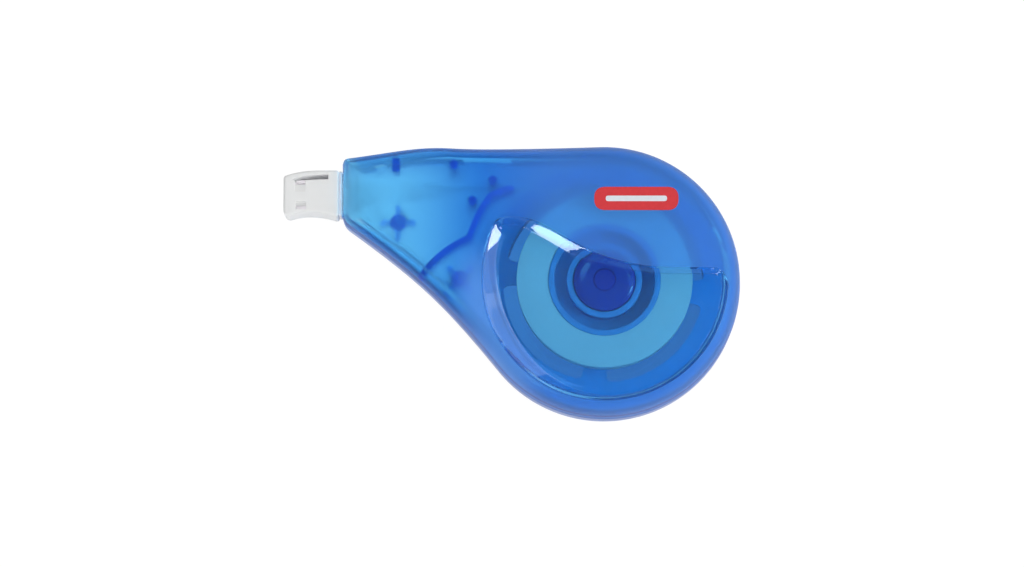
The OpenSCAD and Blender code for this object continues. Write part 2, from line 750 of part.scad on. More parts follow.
// Inside of the cap: square at the collar, and drawn down under the falling edge at its far end
module cap_inside() {
    x0 = bezel_x - cap_l + cap_wall;
    fall_x = bezel_x - 0.45 * cap_l;
    plan = [[x0, cap_in_low], [bezel_x + over, cap_in_low], [bezel_x + over, cap_in_high],
            [fall_x, cap_in_high], [cheek_x, cap_in_high - cap_head],
            [x0, cap_in_high - max(cap_fall, cap_head)]];
    translate([0, 0, part_z - cap_in_t / 2]) linear_extrude(cap_in_t) polygon(plan);
}

// Slots through the cap's face: a tapered bar along the top with a stem, and a short slot below
module cap_slots() {
    face_z = part_z + cap_t / 2 - cap_wall - over;
    bar = [[0, 0], [7.6, 0.25], [7.6, 1.25], [3.1, 1], [1.1, 0.55]];
    bar_at = [bezel_x - cap_l + 1.3, cap_high - 2.1];
    stem_at = bar_at + [0.95, -2.2];
    short_at = [bar_at.x + 1.1, cap_low + 1.45];
    translate([0, 0, face_z]) linear_extrude(cap_wall + 2 * over) {
        translate(bar_at) polygon(bar);
        translate(stem_at) square([cap_slot_w, 2.5]);
        translate(short_at) square([cap_slot_w, 1.8]);
    }
}

rear_shell();
front_shell();
hub_cap();
applicator_tip();
tape_run();
liner_run();
supply_core();
supply_tape();
clutch_ring();
take_up_spool();
take_up_liner();
tip_cap();
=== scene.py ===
"""Looks of a pocket correction tape: translucent casing, two stacked reels, applicator tip and pull-off cap.

Lengths in the classes are millimetres in the part's own frame. They become metres when a mesh is made.
"""

import logging
import math
from dataclasses import dataclass, field
from enum import Enum
from typing import Sequence, Union

import bmesh
import bpy
import numpy as np
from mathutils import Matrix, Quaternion, Vector


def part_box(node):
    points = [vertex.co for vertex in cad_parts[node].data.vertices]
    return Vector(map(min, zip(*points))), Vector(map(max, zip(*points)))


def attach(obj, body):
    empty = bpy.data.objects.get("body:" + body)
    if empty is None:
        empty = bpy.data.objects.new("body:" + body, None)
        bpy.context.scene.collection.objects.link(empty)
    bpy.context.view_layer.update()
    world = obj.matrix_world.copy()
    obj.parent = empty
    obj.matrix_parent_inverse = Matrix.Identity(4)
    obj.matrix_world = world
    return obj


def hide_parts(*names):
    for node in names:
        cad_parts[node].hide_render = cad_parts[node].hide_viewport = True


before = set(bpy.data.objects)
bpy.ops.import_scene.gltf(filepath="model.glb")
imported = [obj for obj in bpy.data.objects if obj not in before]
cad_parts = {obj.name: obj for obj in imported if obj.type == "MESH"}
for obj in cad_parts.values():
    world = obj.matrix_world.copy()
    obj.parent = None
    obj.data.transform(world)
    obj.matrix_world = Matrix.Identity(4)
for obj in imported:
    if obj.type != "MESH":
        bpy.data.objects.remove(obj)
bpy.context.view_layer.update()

log = logging.getLogger("correction_tape")

Points = np.ndarray
Colour = tuple[float, float, float, float]

MM = 0.001
TAU = 2 * math.pi
FROST = "frost"
DEEP_TINT_AND_SHADE = "deep"
RIM = "rim"
IMAGE_W = 1024
IMAGE_H = 567
NOISE_MEAN = 0.5
GRAIN_DEPTH = 0.02


class Ends(Enum):
    """How the first and the last ring of a loft are closed."""

    POLES = "a fan to the middle of the ring"
    FLAT = "one face over the ring"
    JOINED = "the last ring meets the first"


class Axis(Enum):
    """Direction that a prism is drawn along; the value says where its u, v and w go in x, y, z."""

    X = (2, 0, 1)
    Y = (0, 2, 1)
    Z = (0, 1, 2)


class Face(Enum):
    """Side of the blade that a strip lies on."""

    UPPER = 1
    LOWER = -1


def node_box(node: str) -> tuple[Points, Points]:
    """Lowest and highest corner of a CAD node in millimetres.

    Args:
        node: name of the CAD node.

    Returns:
        The two corners as arrays of x, y and z.
    """
    low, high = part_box(node)
    return np.array(low) / MM, np.array(high) / MM


def ease(share: Points) -> Points:
    """Smooth step 3t^2 - 2t^3 of a share, held between 0 and 1."""
    t = np.clip(share, 0, 1)
    return t * t * (3 - 2 * t)


def heading(degrees: Union[float, Points]) -> Points:
    """Unit vectors (cos a, sin a) at angles in degrees."""
    a = np.radians(degrees)
    return np.stack([np.cos(a), np.sin(a)], axis=-1)


def cubic(p: Points, q: Points, r: Points, s: Points, steps: int) -> Points:
    """Cubic curve u^3 p + 3u^2t q + 3ut^2 r + t^3 s, with u = 1 - t.

    Args:
        p: first point.
        q: handle after it.
        r: handle before the last point.
        s: last point.
        steps: number of steps.

    Returns:
        Array of steps + 1 points.
    """
    t = np.linspace(0, 1, steps + 1)[:, None]
    u = 1 - t
    return u**3 * p + 3 * u * u * t * q + 3 * u * t * t * r + t**3 * s


def sweep(p: Points, a: float, pull_a: float, s: Points, b: float, pull_b: float, steps: int) -> Points:
    """Cubic curve from p along heading a to s along heading b, with handles as long as the pulls.

    Args:
        p: first point.
        a: heading at p in degrees.
        pull_a: length of the handle at p.
        s: last point.
        b: heading at s in degrees.
        pull_b: length of the handle at s.
        steps: number of steps.

    Returns:
        Array of steps + 1 points.
    """
    return cubic(p, p + pull_a * heading(a), s - pull_b * heading(b), s, steps)


def straight(p: Points, s: Points, steps: int) -> Points:
    """Points p + t (s - p) on a straight line, both ends included."""
    return p + np.linspace(0, 1, steps + 1)[:, None] * (s - p)


def corner(v: Points, a: float, b: float, radius: float, steps: int) -> Points:
    """Clockwise arc that rounds the corner v between headings a and b: a centre beside v, then the arc.

    Args:
        v: the sharp corner.
        a: heading before it in degrees.
        b: heading after it in degrees.
        radius: radius of the arc.
        steps: number of steps.

    Returns:
        Array of steps + 1 points.
    """
    centre = v - radius * math.tan(math.radians(a - b) / 2) * heading(a) + radius * heading(a - 90)
    return centre + radius * heading(np.linspace(a + 90, b + 90, steps + 1))


def bend(a: Points, v: Points, b: Points, steps: int) -> Points:
    """Curve (1-t)^2 a + 2t(1-t) v + t^2 b that rounds a corner v, or one such curve for each of many corners.

    Args:
        a: point before the corner.
        v: the corner.
        b: point after it.
        steps: number of steps.

    Returns:
        Array of steps + 1 points, for each corner where there are many.
    """
    t = np.linspace(0, 1, steps + 1)[:, None]
    a, v, b = (p[..., None, :] for p in (a, v, b))
    return (1 - t) ** 2 * a + 2 * t * (1 - t) * v + t * t * b


def rounded(points: Points, radius: float, steps: int = 4) -> Points:
    """Closed outline whose corners are bent between points on both sides.

    Args:
        points: corners of the outline in order.
        radius: distance of those points from the corner.
        steps: steps of each curve.

    Returns:
        Array of len(points) * (steps + 1) points.
    """
    before = np.roll(points, 1, axis=0) - points
    after = np.roll(points, -1, axis=0) - points
    a = points + radius * before / np.linalg.norm(before, axis=1, keepdims=True)
    b = points + radius * after / np.linalg.norm(after, axis=1, keepdims=True)
    return bend(a, points, b, steps).reshape(-1, 2)


def rectangle(low: Sequence[float], high: Sequence[float]) -> Points:
    """Corners of a rectangle, counter-clockwise from its lowest corner."""
    return np.array([low, (high[0], low[1]), high, (low[0], high[1])], float)


def circle(radius: float, steps: int = 48, centre: Sequence[float] = (0, 0)) -> Points:
    """Circle c + r (cos a, sin a), counter-clockwise."""
    return np.array(centre) + radius * heading(np.arange(steps) * 360 / steps)


def area(points: Points) -> float:
    """Signed area of a closed outline, half the sum of x y' - x' y; positive counter-clockwise."""
    x, y = points.T
    return 0.5 * float(np.sum(x * np.roll(y, -1) - np.roll(x, -1) * y))


def normals(points: Points) -> Points:
    """Outward unit normals of a closed outline: the chord between neighbours, turned by a right angle.

    Args:
        points: points of the outline in order.

    Returns:
        One unit vector for each point.
    """
    chord = np.roll(points, -1, axis=0) - np.roll(points, 1, axis=0)
    turned = np.stack([chord[:, 1], -chord[:, 0]], axis=1) * math.copysign(1, area(points))
    return turned / np.linalg.norm(turned, axis=1, keepdims=True)


def band(line: Points, width: float, steps: int = 8) -> Points:
    """Outline of a band along a line: both sides offset by half the width, with half circles at the ends.

    Args:
        line: points of the middle line.
        width: width of the band.
        steps: steps of each half circle.

    Returns:
        Points of the closed outline.
    """
    along = np.gradient(line, axis=0)
    along /= np.linalg.norm(along, axis=1, keepdims=True)
    side = np.stack([-along[:, 1], along[:, 0]], axis=1) * width / 2
    turns = np.linspace(0, math.pi, steps + 1)[1:-1, None]
    far = line[-1] + np.cos(turns) * side[-1] + np.sin(turns) * along[-1] * width / 2
    near = line[0] - np.cos(turns) * side[0] - np.sin(turns) * along[0] * width / 2
    return np.concatenate([line + side, far, (line - side)[::-1], near])


@dataclass
class Shape:
    """Points, faces and point values of a mesh in millimetres."""

    points: Points
    faces: list[list[int]]
    values: dict[str, Points] = field(default_factory=dict)

    def __add__(self, other: "Shape") -> "Shape":
        """Both shapes in one mesh.

        Args:
            other: the second shape.

        Returns:
            One shape, without point values.
        """
        shift = len(self.points)
        faces = self.faces + [[i + shift for i in f] for f in other.faces]
        return Shape(np.concatenate([self.points, other.points]), faces)


def loft(rings: Points, ends: Ends) -> Shape:
    """Surface through rings: quad (i, j) joins points j and j + 1 of ring i to those of ring i + 1.

    Args:
        rings: array of rings by points by x, y, z.
        ends: how the first and the last ring are closed.

    Returns:
        The closed shape.
    """
    count, around = rings.shape[:2]
    last = count if ends is Ends.JOINED else count - 1
    i, j = np.meshgrid(np.arange(last), np.arange(around), indexing="ij")
    k = (j + 1) % around
    up = (i + 1) % count
    quads = np.stack([i * around + j, i * around + k, up * around + k, up * around + j], axis=-1)
    points = rings.reshape(-1, 3)
    faces = quads.reshape(-1, 4).tolist()
    ring = np.arange(around)
    top = (count - 1) * around
    if ends is Ends.FLAT:
        faces += [ring[::-1].tolist(), (top + ring).tolist()]
    if ends is Ends.POLES:
        size = len(points)
        points = np.concatenate([points, rings[:1].mean(axis=1), rings[-1:].mean(axis=1)])
        turn = (ring + 1) % around
        low = np.stack([np.full(around, size), turn, ring], axis=-1)
        high = np.stack([np.full(around, size + 1), top + ring, top + turn], axis=-1)
        faces += low.tolist() + high.tolist()
    return Shape(points, faces)


def raised(plan: Points, heights: Points) -> Points:
    """Rings of plan points with their heights, one for each ring or one for each point."""
    return np.concatenate([plan, np.broadcast_to(heights, plan.shape[:2])[..., None]], axis=2)


def revolve(profile: Points, ends: Ends = Ends.JOINED, steps: int = 160) -> Shape:
    """Turned solid: each point (r, z) of a profile carried round the reel axis.

    Args:
        profile: points of radius and height.
        ends: JOINED for a closed profile, FLAT for an open one that gets a face at each end.
        steps: number of steps round the axis.

    Returns:
        The closed shape.
    """
    around = heading(np.arange(steps) * 360 / steps)
    return loft(raised(profile[:, None, :1] * around[None], profile[:, 1:]), ends)


def prism(outline: Points, low: float, high: float, edge: float, axis: Axis = Axis.Z, steps: int = 3) -> Shape:
    """Outline drawn along an axis; near each end it is inset by edge (1 - sin a) at depth edge (1 - cos a).

    Args:
        outline: closed outline in the plane across the axis.
        low: where the prism starts along the axis.
        high: where it ends.
        edge: radius of its rounded ends.
        axis: direction that it is drawn along.
        steps: steps of each rounded end.

    Returns:
        The closed shape.
    """
    a = np.linspace(0, math.pi / 2, steps + 1)
    inset = edge * (1 - np.sin(a))
    depth = edge * (1 - np.cos(a))
    insets = np.concatenate([inset, inset[::-1]])
    heights = np.concatenate([low + depth, high - depth[::-1]])
    flat = outline[None] - insets[:, None, None] * normals(outline)[None]
    return loft(raised(flat, heights[:, None])[..., axis.value], Ends.FLAT)


def ribbon(middle: Points, width: Points, normal: Points) -> Shape:
    """Strip whose section at each station is middle +- half width +- half thickness.

    Args:
        middle: stations by x, y, z.
        width: half the strip's width at each station, as a vector.
        normal: half its thickness, as a vector.

    Returns:
        The closed shape.
    """
    sides = [middle + width + normal, middle - width + normal, middle - width - normal, middle + width - normal]
    return loft(np.stack(sides, axis=1), Ends.FLAT)


class Field:
    """An output socket as a number that varies over a surface; operators on it add Math nodes."""

    def __init__(self, tree: "NodeTree", socket: bpy.types.NodeSocket) -> None:
        """Keep the tree and the socket."""
        self.tree = tree
        self.socket = socket

    def math(self, operation: str, first: "Number", second: "Number") -> "Field":
        """Math node of an operation on two numbers."""
        return self.tree.node("ShaderNodeMath", {"operation": operation}, {0: first, 1: second})

    def __add__(self, other: "Number") -> "Field":
        """Sum."""
        return self.math("ADD", self, other)

    def __sub__(self, other: "Number") -> "Field":
        """Difference."""
        return self.math("SUBTRACT", self, other)

    def __rsub__(self, other: "Number") -> "Field":
        """Difference with the field second."""
        return self.math("SUBTRACT", other, self)

    def __mul__(self, other: "Number") -> "Field":
        """Product."""
        return self.math("MULTIPLY", self, other)

    def __pow__(self, other: "Number") -> "Field":
        """Power."""
        return self.math("POWER", self, other)

    __radd__ = __add__
    __rmul__ = __mul__


Number = Union[Field, float]


def shade(colour: Colour, share: float) -> Colour:
    """A colour made lighter or darker by a factor."""
    return tuple(min(1.0, c * share) for c in colour[:3]) + (1.0,)


class NodeTree:
    """A node tree that is filled by one method."""

    def __init__(self, tree: bpy.types.NodeTree) -> None:
        """Empty the tree and keep it."""
        self.tree = tree
        tree.nodes.clear()

    def node(self, kind: str, settings: dict, sockets: dict, output: Union[int, str] = 0) -> Field:
        """Add a node.

        Args:
            kind: Blender's type of the node.
            settings: its settings, set first.
            sockets: values of its inputs, or fields that are linked to them.
            output: the output that is wanted.

        Returns:
            That output as a field.
        """
        made = self.tree.nodes.new(kind)
        for name, value in settings.items():
            setattr(made, name, value)
        for key, value in sockets.items():
            if isinstance(value, Field):
                self.tree.links.new(value.socket, made.inputs[key])
            else:
                made.inputs[key].default_value = value
        return Field(self, made.outputs[output] if made.outputs else None)

    def place(self) -> Field:
        """Object coordinates of the surface."""
        return self.node("ShaderNodeTexCoord", {}, {}, "Object")

    def axis(self, name: str) -> Field:
        """One object coordinate of the surface, in metres."""
        return self.node("ShaderNodeSeparateXYZ", {}, {0: self.place()}, name)

    def radius(self) -> Field:
        """Distance from the reel axis, the root of x^2 + y^2, in metres."""
        x, y = self.axis("X"), self.axis("Y")
        return (x * x + y * y) ** 0.5

    def value(self, name: str) -> Field:
        """Value of the mesh's points by its name."""
        return self.node("ShaderNodeAttribute", {"attribute_name": name}, {}, "Fac")

    def ray(self, kind: str) -> Field:
        """1 for rays of a kind and 0 for others."""
        return self.node("ShaderNodeLightPath", {}, {}, f"Is {kind} Ray")

    def rise(self, value: Field, start: float, end: float) -> Field:
        """Share that rises smoothly from 0 to 1 while a value goes from a start to an end."""
        sockets = {"Value": value, 1: start, 2: end}
        return self.node("ShaderNodeMapRange", {"interpolation_type": "SMOOTHSTEP"}, sockets)

    def along_x(self, start: float, end: float) -> Field:
        """Share that rises smoothly from 0 to 1 between two stations in X, in millimetres."""
        return self.rise(self.axis("X"), start * MM, end * MM)

    def near_arc(self, turn: float, spread: Sequence[float], reach: Sequence[float]) -> Field:
        """Share that is 1 on an arc about the reel axis and falls smoothly to 0 beyond its ends and outwards.

        Args:
            turn: heading of the arc's middle in degrees.
            spread: degrees from there at which the share starts and ends its fall.
            reach: radii in millimetres at which it starts and ends its fall.

        Returns:
            The product of both falls; the first is over the cosine of the heading's difference.
        """
        radius = self.radius()
        toward_x, toward_y = heading(turn).tolist()
        cosine = (self.axis("X") * toward_x + self.axis("Y") * toward_y) * radius ** -1.0
        start, end = (math.cos(math.radians(degrees)) for degrees in spread)
        return self.rise(cosine, end, start) * self.rise(radius, reach[1] * MM, reach[0] * MM)

    def noise(self, size: float, detail: float = 2) -> Field:
        """Noise whose features are about size millimetres wide."""
        sockets = {"Vector": self.place(), "Scale": 1 / (size * MM), "Detail": detail}
        return self.node("ShaderNodeTexNoise", {}, sockets, "Fac")

    def blend(self, share: Number, first: Union[Field, Colour], second: Union[Field, Colour]) -> Field:
        """Colour between two colours by a share."""
        return self.node("ShaderNodeMix", {"data_type": "RGBA"}, {0: share, 6: first, 7: second}, 2)

    def mottled(self, share: Field, colour: Colour, spread: float) -> Field:
        """A colour that goes from darker to lighter by a spread, by a share."""
        return self.blend(share, shade(colour, 1 - spread), shade(colour, 1 + spread))

    def bump(self, height: Field, strength: float, depth: float) -> Field:
        """Normal bumped by a height field of a depth in millimetres."""
        sockets = {"Height": height, "Strength": strength, "Distance": depth * MM}
        return self.node("ShaderNodeBump", {}, sockets)

    def principled(self, sockets: dict) -> Field:
        """Principled shader."""
        return self.node("ShaderNodeBsdfPrincipled", {}, sockets)

    def mixed(self, share: Field, first: Field, second: Field) -> Field:
        """Two shaders mixed by a share."""
        return self.node("ShaderNodeMixShader", {}, {0: share, 1: first, 2: second})

    def lamps_through(self, seen: Field, tint: Colour) -> Field:
        """A shader that also lets the light of lamps straight through, with a tint."""
        clear = self.node("ShaderNodeBsdfTransparent", {}, {"Color": tint})
        return self.mixed(self.ray("Shadow"), seen, clear)


@dataclass(frozen=True)
class Finish:
    """A surface finish; each kind has its own shader."""

    name: str

    def surface(self, tree: NodeTree) -> Field:
        """Shader of the finish."""
        raise NotImplementedError

    def material(self) -> bpy.types.Material:
        """Material of the finish, made once.

        Returns:
            The same material at every call.
        """
        made = bpy.data.materials.get(self.name)
        if made is None:
            made = bpy.data.materials.new(self.name)
            made.use_nodes = True
            tree = NodeTree(made.node_tree)
            tree.node("ShaderNodeOutputMaterial", {}, {"Surface": self.surface(tree)})
        return made


@dataclass(frozen=True)
class ClearPlastic(Finish):
    """Tinted clear plastic: rough where frost is 1, milky and more deeply tinted where deep is 1, navy where rim is
    1, paler towards the nose and milky on an arc of the flank. The deep tint is partly thicker walls and partly
    painted shade; the navy is the seam plus a painted dark outline; the paler nose is painted light; the milky arc
    is a painted sheen.
    """

    tint: Colour = (0.325, 0.73, 0.99, 1)
    # painted light: the tint turns paler towards the nose's end, where the tip's parts inside would darken it
    painted_nose_light: Colour = (0.46, 0.84, 1, 1)
    # deeper tint for thicker walls, made darker still as painted shade of the casing's shadow on the floor
    deep: Colour = (0.05, 0.4, 0.94, 1)
    veil: Colour = (0.12, 0.35, 0.94, 1)
    sheen: Colour = (0.3, 0.66, 1, 1)
    milky_x: tuple[float, float] = (-30, -8)
    painted_nose_light_x: tuple[float, float] = (-46.5, -52.5)
    # navy of the seam, spread as a painted dark outline over the skirt and the edge's steep side
    navy: Colour = (0.01, 0.05, 0.36, 1)
    veil_share: float = 0.35
    rim_share: float = 0.6
    # painted sheen: the milky body shown on an arc of the lower-left flank, where a lamp's sheen would lie
    painted_sheen_share: float = 0.7
    painted_sheen_turn: float = 203
    painted_sheen_spread: tuple[float, float] = (12, 42)
    painted_sheen_r: tuple[float, float] = (25.5, 31)
    frosted: float = 0.48
    polished: float = 0.04
    uneven: float = 0.12
    passes: float = 0.82
    ior: float = 1.38
    grain: float = 0.16
    bump: float = 0.25
    patch: float = 7
    mottle: float = 0.1

    def surface(self, tree: NodeTree) -> Field:
        """Glass mixed with a matt body by the deep value; the light of lamps passes with its tint. The glass's tint
        turns paler at the nose, a painted light.

        Args:
            tree: the material's nodes.

        Returns:
            The shader; where the sheen share isn't 0, the body also shows on an arc of the flank, a painted sheen.
        """
        frost, deep, rim = (tree.value(name) for name in (FROST, DEEP_TINT_AND_SHADE, RIM))
        patches = tree.noise(self.patch)
        rough = self.polished + frost * (self.frosted - self.polished + self.uneven * (patches - NOISE_MEAN))
        normal = tree.bump(tree.noise(self.grain) * frost, self.bump, GRAIN_DEPTH)
        shared = {"Roughness": rough, "IOR": self.ior, "Specular Tint": self.sheen, "Normal": normal}
        # painted light: the tint turns paler towards the nose's end
        clear = tree.blend(tree.along_x(*self.painted_nose_light_x), self.tint, self.painted_nose_light)
        glass = tree.principled(shared | {
            "Base Color": tree.blend(rim, tree.blend(deep, clear, self.deep), self.navy),
            "Transmission Weight": 1.0, "Coat Weight": 1 - frost, "Coat Roughness": self.polished})
        milk = tree.mottled(patches, self.veil, self.mottle)
        body = tree.principled(shared | {"Base Color": tree.blend(rim, milk, self.navy)})
        share = deep * self.veil_share * tree.along_x(*self.milky_x) + rim * self.rim_share
        # painted sheen on an arc of the frosted flank
        if self.painted_sheen_share:
            painted_sheen = tree.near_arc(self.painted_sheen_turn, self.painted_sheen_spread, self.painted_sheen_r)
            share = share + frost * self.painted_sheen_share * painted_sheen
        passed = tuple(self.passes * math.sqrt(c) for c in self.tint[:3]) + (1.0,)
        return tree.lamps_through(tree.mixed(share, glass, body), passed)


@dataclass(frozen=True)
class MouldedPlastic(Finish):
    """Solid moulded plastic: faint flow marks in its colour, uneven gloss and a fine grain."""

    colour: Colour = (0.5, 0.5, 0.5, 1)
    rough: float = 0.4
    uneven: float = 0.1
    mottle: float = 0.08
    patch: float = 3
    detail: float = 4
    grain: float = 0.2
    bump: float = 0.15
    alpha: float = 1
    thin_x: tuple = ()

    def surface(self, tree: NodeTree) -> Field:
        """Shader with colour, roughness and bump from noise; an alpha below 1 lets some light straight through.

        Args:
            tree: the material's nodes.

        Returns:
            The shader; with thin_x, its alpha falls from 1 to the finish's own between two stations in X.
        """
        alpha = 1 - (1 - self.alpha) * tree.along_x(*self.thin_x) if self.thin_x else self.alpha
        flow = tree.noise(self.patch, self.detail)
        return tree.principled({
            "Base Color": tree.mottled(flow, self.colour, self.mottle),
            "Roughness": self.rough + self.uneven * (flow - NOISE_MEAN), "Alpha": alpha,
            "Normal": tree.bump(tree.noise(self.grain), self.bump, GRAIN_DEPTH)})


@dataclass(frozen=True)
class WoundTape(Finish):
    """Coated tape seen on the edges of its turns: rings of slightly different shade round the reel axis."""

    colour: Colour = (0.6, 0.61, 0.63, 1)
    turn: float = 0.22
    detail: float = 3
    mottle: float = 0.05
    rough: float = 0.5
    uneven: float = 0.15
    bump: float = 0.2
    bump_depth: float = 0.03

    def surface(self, tree: NodeTree) -> Field:
        """Matt shader whose colour and bump follow noise along the distance from the reel axis.

        Args:
            tree: the material's nodes.

        Returns:
            The shader.
        """
        rings = tree.node("ShaderNodeTexNoise", {"noise_dimensions": "1D"}, {
            "W": tree.radius(), "Scale": 1 / (self.turn * MM), "Detail": self.detail}, "Fac")
        return tree.principled({
            "Base Color": tree.mottled(rings, self.colour, self.mottle),
            "Roughness": self.rough + self.uneven * (rings - NOISE_MEAN),
            "Normal": tree.bump(rings, self.bump, self.bump_depth)})


@dataclass(frozen=True)
class MilkyPlastic(Finish):
    """Milky plastic that light soaks into and partly passes."""

    colour: Colour = (0.84, 0.85, 0.85, 1)
    rough: float = 0.34
    uneven: float = 0.12
    mottle: float = 0.03
    patch: float = 2.5
    detail: float = 3
    grain: float = 0.25
    bump: float = 0.12
    soak: float = 0.6
    depth: float = 1.2
    passes: float = 0.92

    def surface(self, tree: NodeTree) -> Field:
        """Shader with light scattered under the surface, uneven gloss and a fine grain.

        Args:
            tree: the material's nodes.

        Returns:
            The shader.
        """
        flow = tree.noise(self.patch, self.detail)
        milk = tree.principled({
            "Base Color": tree.mottled(flow, self.colour, self.mottle),
            "Roughness": self.rough + self.uneven * (flow - NOISE_MEAN),
            "Subsurface Weight": self.soak, "Subsurface Radius": (1, 1, 1), "Subsurface Scale": self.depth * MM,
            "Normal": tree.bump(tree.noise(self.grain), self.bump, GRAIN_DEPTH)})
        return tree.lamps_through(milk, (self.passes,) * 3 + (1.0,))


@dataclass(frozen=True)
class FloorPaint(Finish):
    """White floor that shows as white to the camera, in gloss and through clear plastic, and keeps a shadow."""

    colour: Colour = (0.95, 0.95, 0.95, 1)
    glow: float = 0.92
    level: float = 1.06

    def surface(self, tree: NodeTree) -> Field:
        """Matt white mixed with a white glow for the rays that look at it.

        Args:
            tree: the material's nodes.

        Returns:
            The shader.
        """
        eye, gloss, through = (tree.ray(kind) for kind in ("Camera", "Glossy", "Transmission"))
        looks = eye.math("MAXIMUM", eye, gloss.math("MAXIMUM", gloss, through))
        matt = tree.node("ShaderNodeBsdfDiffuse", {}, {"Color": self.colour})
        white = tree.node("ShaderNodeEmission", {}, {"Color": (1, 1, 1, 1), "Strength": self.level})
        return tree.mixed(looks * self.glow, matt, white)


FRONT_PLASTIC = ClearPlastic("front clear blue")
# the rear's deep tint is darker: painted shade of the casing's own shadow on the floor under the reels
REAR_PLASTIC = ClearPlastic("rear clear blue", deep=(0.03, 0.14, 0.54, 1), painted_sheen_share=0, frosted=0.3)
ARM_PLASTIC = MouldedPlastic("blue boss arms", colour=(0.06, 0.3, 0.84, 1), rough=0.3, alpha=0.45)
BOSS_PLASTIC = MouldedPlastic("dark blue boss cores", colour=(0.015, 0.07, 0.5, 1), rough=0.3)
RIB_PLASTIC = MouldedPlastic("deep blue ribs", colour=(0.02, 0.11, 0.58, 1), rough=0.3)
POST_PLASTIC = MouldedPlastic("deep blue post", colour=(0.006, 0.034, 0.33, 1), rough=0.2)
HUB_PLASTIC = MouldedPlastic("navy hub", colour=(0.008, 0.052, 0.34, 1), rough=0.1, bump=0.04)
CORE_PLASTIC = MouldedPlastic("blue core", colour=(0.08, 0.3, 0.6, 1), rough=0.35)
SPOOL_PLASTIC = MouldedPlastic("blue spool", colour=(0.028, 0.31, 0.66, 1), rough=0.35)
CLUTCH_PLASTIC = MouldedPlastic("grey blue clutch", colour=(0.16, 0.2, 0.45, 1), rough=0.4)
TIP_PLASTIC = MilkyPlastic("lilac white tip", colour=(0.86, 0.82, 0.86, 1), depth=0.6, passes=0.65)
NECK_PLASTIC = MouldedPlastic("milky tip neck", colour=(0.7, 0.7, 0.78, 1), rough=0.35, mottle=0.04, alpha=0.15)
TAPE_EDGES = WoundTape("wound white tape")
LINER_EDGES = WoundTape("wound liner", colour=(0.66, 0.6, 0.5, 1))
# the white tape coat is set grey: painted shade, for the grey seen through the cap's slots
TAPE_COAT = MouldedPlastic("white tape coat", colour=(0.79, 0.79, 0.78, 1), rough=0.6, mottle=0.03, alpha=0.25,
                           thin_x=(-50, -42))
LINER_PAPER = MouldedPlastic("waxed liner", colour=(0.7, 0.7, 0.66, 1), rough=0.3, mottle=0.05, alpha=0.15)
CAP_PLASTIC = MilkyPlastic("milky cap")
RED_INK = MouldedPlastic("red ink", colour=(0.68, 0.03, 0.04, 1), rough=0.45, mottle=0.12, patch=0.8)
WHITE_INK = MouldedPlastic("white ink", colour=(0.75, 0.8, 0.86, 1), rough=0.45, mottle=0.08, patch=0.8)
FLOOR_PAINT = FloorPaint("white floor")


def placed(name: str, data: bpy.types.ID) -> bpy.types.Object:
    """New object at the origin, linked to the scene.

    Args:
        name: its name.
        data: its mesh, lamp or camera.

    Returns:
        The object.
    """
    made = bpy.data.objects.new(name, data)
    bpy.context.scene.collection.objects.link(made)
    return made


def new_object(name: str, shape: Shape) -> bpy.types.Object:
    """Object at the origin with a shape's mesh in metres, its faces turned outwards.

    Args:
        name: name of the object and its mesh.
        shape: the shape in millimetres.

    Returns:
        The object, linked to the scene.
    """
    mesh = bpy.data.meshes.new(name)
    mesh.from_pydata((shape.points * MM).tolist(), [], shape.faces)
    for key, values in shape.values.items():
        mesh.attributes.new(key, "FLOAT", "POINT").data.foreach_set("value", values.astype(np.float32))
    solid = bmesh.new()
    solid.from_mesh(mesh)
    if solid.calc_volume(signed=True) < 0:
        bmesh.ops.reverse_faces(solid, faces=solid.faces)
        solid.to_mesh(mesh)
    solid.free()
    return placed(name, mesh)


def carve(piece: bpy.types.Object, cutter: Shape) -> None:
    """Cut a shape out of a piece.

    Args:
        piece: the piece, whose mesh is replaced.
        cutter: the shape in millimetres.
    """
    tool = new_object("cutter", cutter)
    cut = piece.modifiers.new("cut", "BOOLEAN")
    cut.operation = "DIFFERENCE"
    cut.solver = "EXACT"
    cut.object = tool
    view = bpy.context.evaluated_depsgraph_get()
    old = piece.data
    piece.data = bpy.data.meshes.new_from_object(piece.evaluated_get(view))
    piece.modifiers.clear()
    bpy.data.objects.remove(tool)
    bpy.data.meshes.remove(old)


def smooth(piece: bpy.types.Object, angle: float) -> None:
    """Smooth shading, with edges sharper than an angle in degrees left crisp."""
    piece.data.polygons.foreach_set("use_smooth", np.ones(len(piece.data.polygons), bool))
    piece.data.set_sharp_from_angle(angle=math.radians(angle))


@dataclass(frozen=True)
class Piece:
    """What a piece is called, its finish, the body it rides on, its slot and the CAD nodes it stands for."""

    name: str
    finish: Finish
    body: str
    slot: str = ""
    stands_for: tuple[str, ...] = ()
    crisp: float = 35

    def build(self, shape: Shape, cuts: Sequence[Shape] = ()) -> None:
        """Make the piece, cut it, smooth it up to its crisp angle and dress it.

        Args:
            shape: its shape in millimetres.
            cuts: shapes that are cut out of it, in order.
        """
        made = new_object(self.name, shape)
        for cut in cuts:
            carve(made, cut)
        smooth(made, self.crisp)
        made.data.materials.clear()
        made.data.materials.append(self.finish.material())
        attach(made, self.body)
        if self.stands_for:
            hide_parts(*self.stands_for)
        log.info("%s: %d faces, %s, on %s", made.name, len(made.data.polygons), self.finish.name, self.body)


